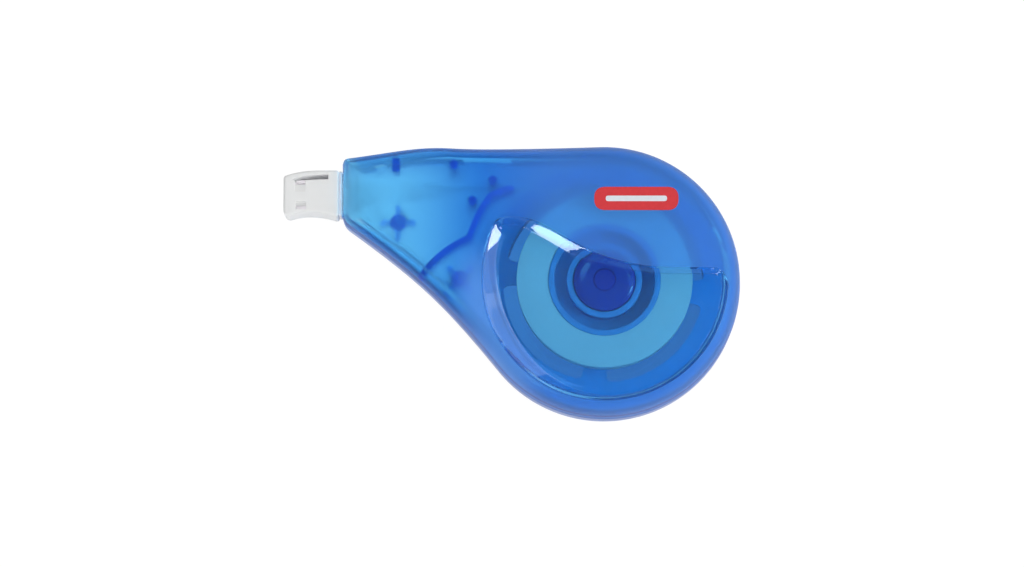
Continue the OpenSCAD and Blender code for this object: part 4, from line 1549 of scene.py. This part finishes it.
@dataclass
class Reels:
    """Hub cap, supply core and pack, and the slotted take-up spool."""

    crisp: float = 50
    soft: float = 0.15
    soft_steps: int = 3
    # hub cap
    pin_r: float = 2.23
    hub_r: float = 6.05
    dome_parts: int = 3
    dome_steps: int = 15
    # supply core and pack
    core_wall: float = 1.1
    core_web: float = 0.8
    ring_in: float = 6.15
    ring_out: float = 7.4
    ring_drop: float = 1.2
    ledge_in: float = 5.25
    ledge_t: float = 0.35
    pack_soft: float = 0.08
    # take-up spool and the slots in its web
    sleeve_in: float = 2.66
    sleeve_out: float = 3.76
    flange_w: float = 2.8
    flange_t: float = 0.7
    web_gap: float = 0.2
    slot_w: float = 6.2
    slot_span: float = 75
    slot_turn: float = -6
    slot_count: int = 4
    slot_round: float = 1.2
    slot_round_steps: int = 6
    slot_steps: int = 39
    slot_cut: tuple[float, float] = (1.6, 0.4)

    def hub_shape(self) -> Shape:
        """Domed retainer: a quarter ellipse from the pin's hole down to a low rim, turned round the axis.

        Returns:
            The closed shape.
        """
        low, high = node_box("hub_cap")
        rim = low[2] + (high[2] - low[2]) / self.dome_parts
        a = np.linspace(0, math.pi / 2, self.dome_steps + 1)
        radius = self.pin_r + (self.hub_r - self.pin_r) * np.cos(a)
        dome = np.stack([radius, rim + (high[2] - rim) * np.sin(a)], axis=1)
        return revolve(np.concatenate([[(self.pin_r, low[2]), (self.hub_r, low[2])], dome]))

    def core_shape(self) -> Shape:
        """Supply core: one section of core wall, low web, hub ring and ledge, turned round the axis.

        Returns:
            The closed shape.
        """
        low, high = node_box("supply_core")
        base = low[2]
        top = high[2]
        wall_out = high[0]
        wall_in = wall_out - self.core_wall
        web = base + self.core_web
        ring = top - self.ring_drop
        ledge = base + self.ledge_t
        section = [(wall_out, base), (wall_out, top), (wall_in, top), (wall_in, web), (self.ring_out, web),
                   (self.ring_out, ring), (self.ring_in, ring), (self.ring_in, ledge), (self.ledge_in, ledge),
                   (self.ledge_in, base)]
        return revolve(rounded(np.array(section), self.soft, self.soft_steps))

    def pack_shape(self) -> Shape:
        """Wound tape: a rectangle with soft corners turned round the axis.

        Returns:
            The closed shape.
        """
        low, high = node_box("supply_tape")
        core = node_box("supply_core")[1][0]
        section = rectangle((core, low[2]), (high[0], high[2]))
        return revolve(rounded(section, self.pack_soft, self.soft_steps))

    def spool_shape(self) -> Shape:
        """Take-up spool: one section of sleeve, web, drum wall and flanges, turned round the axis.

        Returns:
            The closed shape.
        """
        low, high = node_box("take_up_spool")
        base = low[2]
        top = high[2]
        flange = high[0]
        drum = flange - self.flange_w
        inside = drum - self.core_wall
        web_top = node_box("supply_core")[0][2] - self.web_gap
        web = web_top - self.flange_t
        foot = base + self.flange_t
        section = [(self.sleeve_in, base), (self.sleeve_out, base), (self.sleeve_out, web), (inside, web),
                   (inside, base), (flange, base), (flange, foot), (drum, foot), (drum, web), (flange, web),
                   (flange, web_top), (self.sleeve_out, web_top), (self.sleeve_out, top), (self.sleeve_in, top)]
        return revolve(rounded(np.array(section), self.soft, self.soft_steps))

    def slot_shape(self, turn: float) -> Shape:
        """Cutter of one arc slot: two arcs about the axis with soft corners, drawn through the web.

        Args:
            turn: angle of the slot's first end in degrees.

        Returns:
            The closed shape.
        """
        outer = node_box("take_up_spool")[1][0] - self.flange_w - self.core_wall
        inner = outer - self.slot_w
        first, last = heading(turn), heading(turn + self.slot_span)
        out_trim, in_trim = (math.degrees(self.slot_round / r) for r in (outer, inner))
        end = turn + self.slot_span
        far = outer * heading(np.linspace(turn + out_trim, end - out_trim, self.slot_steps + 1))
        near = inner * heading(np.linspace(end - in_trim, turn + in_trim, self.slot_steps + 1))
        out_side = outer - self.slot_round
        in_side = inner + self.slot_round
        corners = [(far[-1], outer * last, out_side * last), (in_side * last, inner * last, near[0]),
                   (near[-1], inner * first, in_side * first), (out_side * first, outer * first, far[0])]
        bends = [bend(a, v, b, self.slot_round_steps) for a, v, b in corners]
        outline = np.concatenate([far[1:-1], bends[0], bends[1], near[1:-1], bends[2], bends[3]])
        web = node_box("supply_core")[0][2]
        return prism(outline, web - self.slot_cut[0], web + self.slot_cut[1], 0, steps=1)

    def build(self) -> None:
        """Make the pieces of the reels, and give the two nodes that are kept from the frame their finishes."""
        hub = Piece("hub_retainer", HUB_PLASTIC, "casing", "hub", ("hub_cap",))
        hub.build(self.hub_shape())
        core = Piece("tape_core", CORE_PLASTIC, "supply_reel", "core", ("supply_core",), self.crisp)
        core.build(self.core_shape())
        pack = Piece("tape_pack", TAPE_EDGES, "supply_reel", "tape", ("supply_tape",), self.crisp)
        pack.build(self.pack_shape())
        pitch = 360 / self.slot_count
        turns = [self.slot_turn + i * pitch + (pitch - self.slot_span) / 2 for i in range(self.slot_count)]
        spool = Piece("liner_spool", SPOOL_PLASTIC, "take_up_reel", "spool", ("take_up_spool",), self.crisp)
        spool.build(self.spool_shape(), [self.slot_shape(turn) for turn in turns])
        for node, finish in (("clutch_ring", CLUTCH_PLASTIC), ("take_up_liner", LINER_EDGES)):
            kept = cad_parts[node]
            kept.data.materials.clear()
            kept.data.materials.append(finish.material())
            log.info("%s: kept from the frame, %s", node, finish.name)


@dataclass
class Tip:
    """Applicator tip with its collar, and the tape and liner that run over its blade."""

    form: CasingForm
    ribs: Ribs
    # blocks: bezel, neck, clamp and spigot
    collar: tuple[float, float] = (8.8, 6)
    bezel_l: float = 0.6
    bezel_step: float = 0.4
    spigot_l: float = 2.2
    spigot_low: float = -2.98
    spigot_high: float = 3.58
    spigot_t: float = 5.76
    clamp_l: float = 1.1
    clamp_in: float = 1
    clamp_t: float = 7.6
    clamp_gap: float = 0.05
    joint_gap: float = 0.02
    soft: float = 0.2
    soft_steps: int = 5
    clear_blocks: tuple[str, str] = ("tip_neck", "tip_clamp")
    # blade with its cheeks, and the passages beside it
    blade_l: float = 9.4
    blade_root: float = 1.5
    blade_edge: float = 0.7
    blade_soft: float = 0.05
    nib_steps: int = 12
    cheek_t: float = 0.6
    cheek_low: float = 0.8
    cheek_r: float = 0.4
    cheek_soft: float = 0.12
    bite: float = 0.3
    passage_w: float = 4.6
    passage_h: float = 1.2
    cut_past: float = 0.5
    # tape and liner
    strip_gap: float = 0.02
    strip_t: float = 0.12
    tape_w: float = 4.2
    flat_run: float = 1
    side_play: float = 0.1
    roll_start: float = 0.2
    blade_steps: int = 7
    edge_steps: int = 9
    short_steps: int = 6
    tape_steps: int = 48
    liner_steps: int = 40

    def __post_init__(self) -> None:
        """Stations along the tip, from the nose outwards."""
        form = self.form
        self.middle_y = form.tip_y
        self.middle_z = form.part_z
        self.nose_x = form.nose_x
        self.bezel_x = self.nose_x - self.bezel_l
        self.spigot_x = self.bezel_x - self.spigot_l
        self.edge_x = self.bezel_x - self.blade_l
        self.clamp_x = self.nose_x + form.wall + form.draft
        self.end_x = self.clamp_x + self.clamp_l
        self.nib = self.blade_edge / 2

    def block(self, x0: float, x1: float, low: Sequence[float], high: Sequence[float]) -> Shape:
        """Block along X with soft edges: a rounded rectangle about the tip's middle, drawn from x0 to x1.

        Args:
            x0: where it starts.
            x1: where it ends.
            low: lowest corner of its section from the middle.
            high: highest corner.

        Returns:
            The closed shape.
        """
        middle = np.array([self.middle_y, self.middle_z])
        outline = rounded(rectangle(middle + low, middle + high), 2 * self.soft, self.soft_steps)
        return prism(outline, x0, x1, self.soft, Axis.X)

    def half_blade(self, x: Points) -> Points:
        """Half the blade's thickness, which falls evenly from root to edge."""
        share = (self.end_x - x) / (self.end_x - self.edge_x - self.nib)
        return (self.blade_root + (self.blade_edge - self.blade_root) * share) / 2

    def blocks(self) -> dict[str, Shape]:
        """Bezel, neck, clamp and spigot by name.

        Returns:
            Closed shapes by the names of their pieces.
        """
        across, thick = np.array(self.collar) / 2
        neck = across - self.bezel_step
        neck_t = thick - self.bezel_step
        clamp = neck - self.clamp_in
        spigot_t = self.spigot_t / 2
        clamp_t = self.clamp_t / 2
        joint = self.nose_x - self.joint_gap
        return {
            "tip_bezel": self.block(self.bezel_x, joint, (-across, -thick), (across, thick)),
            "tip_neck": self.block(joint, self.end_x, (-neck, -neck_t), (neck, neck_t)),
            "tip_clamp": self.block(self.clamp_x + self.clamp_gap, self.end_x - self.joint_gap,
                                    (-clamp, -clamp_t), (clamp, clamp_t)),
            "tip_spigot": self.block(self.spigot_x, self.bezel_x + self.joint_gap,
                                     (self.spigot_low, -spigot_t), (self.spigot_high, spigot_t))}

    def passage_shape(self, face: Face) -> Shape:
        """Cutter of the tape's way beside the blade, drawn across the tape's width.

        Args:
            face: side of the blade.

        Returns:
            The closed shape.
        """
        ends = np.array([self.spigot_x - self.cut_past, self.end_x + self.cut_past])
        near = self.half_blade(ends)
        profile = np.array([(ends[0], near[0]), (ends[1], near[1]), (ends[1], near[1] + self.passage_h),
                            (ends[0], near[0] + self.passage_h)])
        profile[:, 1] = self.middle_z + face.value * profile[:, 1]
        half = self.passage_w / 2
        return prism(profile, self.middle_y - half, self.middle_y + half, 0, Axis.Y, 1)

    def blade_shape(self) -> Shape:
        """Blade with a round edge, and tapered cheeks at its sides, each a profile drawn across the tip.

        Returns:
            The closed shape.
        """
        a = np.radians(np.linspace(90, 270, self.nib_steps + 1))
        edge = np.stack([self.edge_x + self.nib + self.nib * np.cos(a), self.nib * np.sin(a)], axis=1)
        root = self.blade_root / 2
        back = self.end_x - self.bite
        blade = np.concatenate([[(back, root)], edge, [(back, -root)]])
        blade[:, 1] += self.middle_z
        half = self.passage_w / 2
        ends = (self.middle_y - half - self.bite, self.middle_y + half + self.bite)
        made = prism(blade, ends[0], ends[1], self.blade_soft, Axis.Y)
        tall = self.spigot_t / 2
        x0 = self.spigot_x + self.bite
        x1 = self.edge_x + self.cheek_low
        cheek = np.array([(x0, -tall), (x0, tall), (x1, self.cheek_low), (x1, -self.cheek_low)])
        cheek = rounded(cheek, self.cheek_r)
        cheek[:, 1] += self.middle_z
        for side in (-1, 1):
            inner = self.middle_y + side * half
            ends = sorted([inner, inner + side * self.cheek_t])
            made = made + prism(cheek, ends[0], ends[1], self.cheek_soft, Axis.Y)
        return made

    def on_blade(self, x: Points, face: Face) -> Points:
        """Middle of the strip beside the blade at stations x."""
        rise = self.half_blade(x) + self.strip_gap + self.strip_t / 2
        return np.stack([x, np.full_like(x, self.middle_y), self.middle_z + face.value * rise], axis=1)

    def flat_strip(self, face: Face) -> tuple[Points, Points, Points]:
        """Strip along the blade and round its edge to the foremost point.

        Args:
            face: side of the blade.

        Returns:
            Middles, half widths and half thicknesses of its stations, from the collar outwards.
        """
        x = np.linspace(self.end_x, self.edge_x + self.nib, self.blade_steps + 1)
        a = np.radians(np.linspace(0, 90, self.edge_steps + 1))[1:]
        radius = self.nib + self.strip_gap + self.strip_t / 2
        turn = np.stack([self.edge_x + self.nib - radius * np.sin(a), np.full_like(a, self.middle_y),
                         self.middle_z + face.value * radius * np.cos(a)], axis=1)
        middle = np.concatenate([self.on_blade(x, face), turn])
        width = np.broadcast_to([0, self.tape_w / 2, 0], middle.shape)
        tilt = np.concatenate([np.zeros(len(x)), a])
        normal = np.stack([-np.sin(tilt), np.zeros_like(tilt), face.value * np.cos(tilt)], axis=1)
        return middle, width, normal * self.strip_t / 2

    def twisted(self, flat: Points, z: Points, way: float, roll: Points) -> tuple[Points, Points, Points]:
        """Stations of a strip on a plan path, its width rolled from upright towards flat.

        Args:
            flat: plan points.
            z: their heights.
            way: heading of the path in degrees.
            roll: angle of the width from upright at each station, in radians.

        Returns:
            Middles, half widths and half thicknesses.
        """
        side = heading(way + 90)
        sine = np.sin(roll)[:, None]
        cosine = np.cos(roll)[:, None]
        width = np.concatenate([side * sine, cosine], axis=1) * self.tape_w / 2
        normal = np.concatenate([side * cosine, -sine], axis=1) * self.strip_t / 2
        return np.concatenate([flat, z[:, None]], axis=1), width, normal

    def tape_shape(self) -> Shape:
        """Tape: tangent to the pack, over the rib's bulb, rolled flat by an eased turn, then along the blade.

        Returns:
            The closed shape.
        """
        low, high = node_box("supply_tape")
        bulb = self.ribs.bulb() + [0, self.ribs.rib_t / 2 + self.side_play + self.strip_t / 2]
        radius = high[0] + self.side_play + self.strip_t / 2
        turn = math.degrees(math.atan2(bulb[1], bulb[0]) - math.acos(radius / np.linalg.norm(bulb)))
        leave = radius * heading(turn)
        level = (low[2] + high[2]) / 2
        count = self.short_steps
        first = self.twisted(straight(leave, bulb, count)[:-1], np.full(count, level), turn + 90, np.zeros(count))
        t = np.linspace(0, 1, self.tape_steps + 1)
        x = bulb[0] + (self.end_x + self.flat_run - bulb[0]) * t
        flat = np.stack([x, bulb[1] + (self.middle_y - bulb[1]) * ease(t)], axis=1)
        end_z = self.on_blade(np.array([self.end_x]), Face.UPPER)[0, 2]
        roll = -math.pi / 2 * ease((t - self.roll_start) / (1 - self.roll_start))
        second = self.twisted(flat, level + (end_z - level) * ease(t), 180, roll)
        return ribbon(*(np.concatenate(p) for p in zip(first, second, self.flat_strip(Face.UPPER))))

    def liner_shape(self) -> Shape:
        """Liner: back under the blade, rolled upright on its way past the first boss, then tangent to the drum.

        Returns:
            The closed shape.
        """
        low, high = node_box("take_up_liner")
        boss = np.array(self.ribs.boss_places[0])
        past = self.ribs.boss_post_r + self.side_play + self.strip_t / 2
        wind = high[0] + self.side_play + self.strip_t / 2
        way = math.degrees(math.atan2(-boss[1], -boss[0]) - math.asin((wind - past) / np.linalg.norm(boss)))
        left = heading(way + 90)
        meet = -wind * left
        through = boss - past * left
        leave = np.array([self.end_x + self.flat_run, self.middle_y])
        pull = float(np.linalg.norm(through - leave)) / 3
        path = sweep(leave, way, pull, through, way, pull, self.liner_steps)
        t = np.linspace(0, 1, self.liner_steps + 1)
        level = (low[2] + high[2]) / 2
        start_z = self.on_blade(np.array([self.end_x]), Face.LOWER)[0, 2]
        first = tuple(p[::-1] for p in self.flat_strip(Face.LOWER))
        roll = math.pi / 2 * (1 - ease(t))
        second = self.twisted(path, start_z + (level - start_z) * ease(t), way, roll)
        count = self.short_steps
        third = self.twisted(straight(through, meet, count)[1:], np.full(count, level), way, np.zeros(count))
        return ribbon(*(np.concatenate(p) for p in zip(first, second, third)))

    def build(self) -> None:
        """Make the tip, the tape and the liner."""
        passages = [self.passage_shape(face) for face in Face]
        for name, shape in self.blocks().items():
            finish = NECK_PLASTIC if name in self.clear_blocks else TIP_PLASTIC
            Piece(name, finish, "casing", "tip").build(shape, passages)
        Piece("tip_blade", TIP_PLASTIC, "casing", "tip", ("applicator_tip",)).build(self.blade_shape())
        Piece("tape_strip", TAPE_COAT, "casing", "tape", ("tape_run",)).build(self.tape_shape())
        Piece("liner_strip", LINER_PAPER, "casing", "liner", ("liner_run",)).build(self.liner_shape())


@dataclass
class Cap:
    """Pull-off cap with a falling upper edge, a hollow lower edge and slots in its face."""

    tip: Tip
    crisp: float = 40
    # outside
    wall: float = 0.8
    sag: float = 1.1
    fall: float = 1.2
    near_r: float = 0.6
    far_r: float = 1.1
    rise: float = 20
    crest: float = 20
    gap: float = 0.03
    soft: float = 0.5
    soft_steps: int = 8
    near_steps: int = 10
    left_steps: int = 12
    far_steps: int = 8
    side_steps: int = 24
    # hollow
    inside_low: float = -3.1
    inside_high: float = 3.7
    fall_share: float = 0.45
    head: float = 0.6
    mouth_past: float = 1
    hollow_r: float = 0.5
    hollow_steps: int = 5
    hollow_soft: float = 0.3
    # slots: a long bar, a stem that joins it and a short one
    bar: tuple = ((0, 0), (7.6, 0.25), (7.6, 1.25), (3.1, 1), (1.1, 0.55))
    bar_in: tuple[float, float] = (1.3, -2.1)
    stem_in: tuple[float, float] = (0.95, -2.2)
    stem: tuple[float, float] = (2.1, 2.5)
    short_in: tuple[float, float] = (1.1, 1.45)
    short: tuple[float, float] = (2.1, 1.8)
    slot_soft: float = 0.2
    cut_past: float = 0.5

    def __post_init__(self) -> None:
        """Corners of the cap from its node's box and the tip."""
        low, high = node_box("tip_cap")
        self.x0 = float(low[0])
        self.x1 = self.tip.bezel_x - self.gap
        self.z0 = float(low[2])
        self.z1 = float(high[2])
        self.in_low = self.tip.middle_y + self.inside_low
        self.in_high = self.tip.middle_y + self.inside_high
        self.y0 = self.in_low - self.wall - self.sag
        self.y1 = self.in_high + self.wall
        self.length = self.tip.bezel_x - self.x0

    def outline(self) -> Points:
        """Plan of the cap, clockwise: round corners, an upper edge that falls and a lower edge that bows in.

        Returns:
            Points of the closed outline.
        """
        sine = math.sin(math.radians(self.rise))
        corner_rise = (self.near_r + self.far_r) / 2 * math.tan(math.radians(45 + self.rise / 2)) * sine
        pull = (self.sag - corner_rise) / (3 / 4 * sine)
        near = corner(np.array([self.x1, self.y1]), 0, -90, self.near_r, self.near_steps)
        right = corner(np.array([self.x1, self.y0]), -90, -180 - self.rise, self.near_r, self.near_steps)
        left = corner(np.array([self.x0, self.y0]), 180 + self.rise, 90, self.far_r, self.left_steps)
        foot = sweep(right[-1], 180 - self.rise, pull, left[0], 180 + self.rise, pull, self.side_steps)
        far = corner(np.array([self.x0, self.y1 - self.fall]), 90, self.crest, self.near_r, self.far_steps)
        top = sweep(far[-1], self.crest, self.length / 3, near[0], 0, self.length / 3, self.side_steps)
        return np.concatenate([near, right, foot[1:], left[1:], far, top[1:-1]])

    def inside(self) -> Points:
        """Plan of the hollow: square at the collar, drawn down under the falling edge at its far end.

        Returns:
            Corners of the closed outline.
        """
        x0 = self.x0 + self.wall
        out = self.x1 + self.mouth_past
        return np.array([(x0, self.in_low), (out, self.in_low), (out, self.in_high),
                         (self.tip.bezel_x - self.fall_share * self.length, self.in_high),
                         (self.tip.edge_x + self.tip.cheek_low, self.in_high - self.head),
                         (x0, self.in_high - self.fall)])

    def slot(self, outline: Points) -> Shape:
        """Cutter of one slot in the face."""
        low = self.z1 - self.wall - self.cut_past
        return prism(rounded(outline, self.slot_soft), low, self.z1 + self.cut_past, 0, steps=1)

    def build(self) -> None:
        """Make the cap with its hollow and its slots."""
        outline = rounded(self.inside(), self.hollow_r, self.hollow_steps)
        hollow = prism(outline, self.z0 + self.wall, self.z1 - self.wall, self.hollow_soft)
        bar_at = np.array([self.x0, self.y1]) + self.bar_in
        stem_at = bar_at + self.stem_in
        short_at = np.array([bar_at[0] + self.short_in[0], self.y0 + self.short_in[1]])
        plans = [bar_at + np.array(self.bar), rectangle(stem_at, stem_at + self.stem),
                 rectangle(short_at, short_at + self.short)]
        block = prism(self.outline(), self.z0, self.z1, self.soft, steps=self.soft_steps)
        cap = Piece("pull_cap", CAP_PLASTIC, "cap", "cap", ("tip_cap",), self.crisp)
        cap.build(block, [hollow] + [self.slot(plan) for plan in plans])


@dataclass(frozen=True)
class Softbox:
    """A rectangular lamp, placed and aimed in millimetres."""

    name: str
    place: tuple[float, float, float]
    aim: tuple[float, float, float]
    size: tuple[float, float]
    radiance: float
    spin: float = 0

    def build(self) -> None:
        """Add the lamp; its power is its radiance times pi times its area."""
        lamp = bpy.data.lights.new(self.name, "AREA")
        lamp.shape = "RECTANGLE"
        lamp.size = self.size[0] * MM
        lamp.size_y = self.size[1] * MM
        lamp.energy = self.radiance * math.pi * lamp.size * lamp.size_y
        made = placed(self.name, lamp)
        made.location = Vector(self.place) * MM
        turn = (Vector(self.aim) - Vector(self.place)).to_track_quat("-Z", "Y")
        made.rotation_euler = (turn @ Quaternion((0, 0, 1), math.radians(self.spin))).to_euler()


@dataclass
class Studio:
    """Floor, world light, softboxes and the camera at the photograph's angle."""

    pixel: float = 0.196
    reel_pixel: tuple[float, float] = (604.5, 280)
    tilt: float = 7.5
    lens: float = 150
    sensor: float = 36
    look_z: float = 12.3
    world: float = 0.18
    floor_half: float = 1500
    floor_drop: float = 0.02
    lamps: tuple = (
        Softbox("roof", (-88, -355, 1000), (-88, -355, 0), (1000, 1000), 0.1, -14),
        Softbox("front", (0, -900, 600), (0, 0, 0), (900, 500), 0.45),
        Softbox("back", (0, 900, 600), (0, 0, 0), (900, 500), 0.45),
        Softbox("left", (-900, 0, 600), (0, 0, 0), (900, 500), 0.45),
        Softbox("right", (680, 320, 750), (0, 0, 0), (1300, 800), 1.4),
        Softbox("crescent", (-500, -650, 330), (0, 0, 10), (270, 240), 10.0),
        Softbox("leaf", (673, -143, 500), (-22, 8, 15), (205, 380), 13.0),
        Softbox("pane_left", (-302, 272, 914), (0, 0, 10), (240, 240), 4.0),
        Softbox("pane_right", (419, 272, 866), (0, 0, 10), (200, 200), 1.3),
    )

    def camera(self) -> None:
        """Camera above the casing, tilted from the -Y side, with the photograph's scale at the window."""
        aim = np.array([(IMAGE_W / 2 - self.reel_pixel[0]) * self.pixel,
                        (self.reel_pixel[1] - IMAGE_H / 2) * self.pixel, self.look_z])
        far = self.lens / self.sensor * IMAGE_W * self.pixel
        back = np.array([0, -math.sin(math.radians(self.tilt)), math.cos(math.radians(self.tilt))])
        lens = bpy.data.cameras.new("camera")
        lens.lens = self.lens
        lens.sensor_width = self.sensor
        made = placed("camera", lens)
        made.location = Vector((aim + far * back) * MM)
        made.rotation_euler = (math.radians(self.tilt), 0, 0)
        bpy.context.scene.camera = made

    def build(self) -> None:
        """Add the camera, the floor, the world light and the lamps."""
        self.camera()
        half = np.array([self.floor_half, self.floor_half])
        points = raised(rectangle(-half, half)[None], np.array([[-self.floor_drop]]))[0]
        mesh = bpy.data.meshes.new("floor")
        mesh.from_pydata((points * MM).tolist(), [], [[0, 1, 2, 3]])
        mesh.materials.append(FLOOR_PAINT.material())
        floor = placed("floor", mesh)
        world = bpy.data.worlds.new("studio")
        world.use_nodes = True
        tree = NodeTree(world.node_tree)
        light = tree.node("ShaderNodeBackground", {}, {"Color": (1, 1, 1, 1), "Strength": self.world})
        tree.node("ShaderNodeOutputWorld", {}, {"Surface": light})
        bpy.context.scene.world = world
        for lamp in self.lamps:
            lamp.build()
        bpy.context.scene.view_settings.view_transform = "Standard"


def write_sizes() -> None:
    """Bring the view layer up to date."""
    bpy.context.view_layer.update()


def main() -> None:
    """Build the object and its studio."""
    logging.basicConfig(level=logging.INFO, format="%(message)s")
    Studio().build()
    form = CasingForm()
    ribs = Ribs(form)
    tip = Tip(form, ribs)
    for part in (Shells(form), ribs, Print(form), Reels(), tip, Cap(tip)):
        part.build()
    write_sizes()


if __name__ == "__main__":
    main()
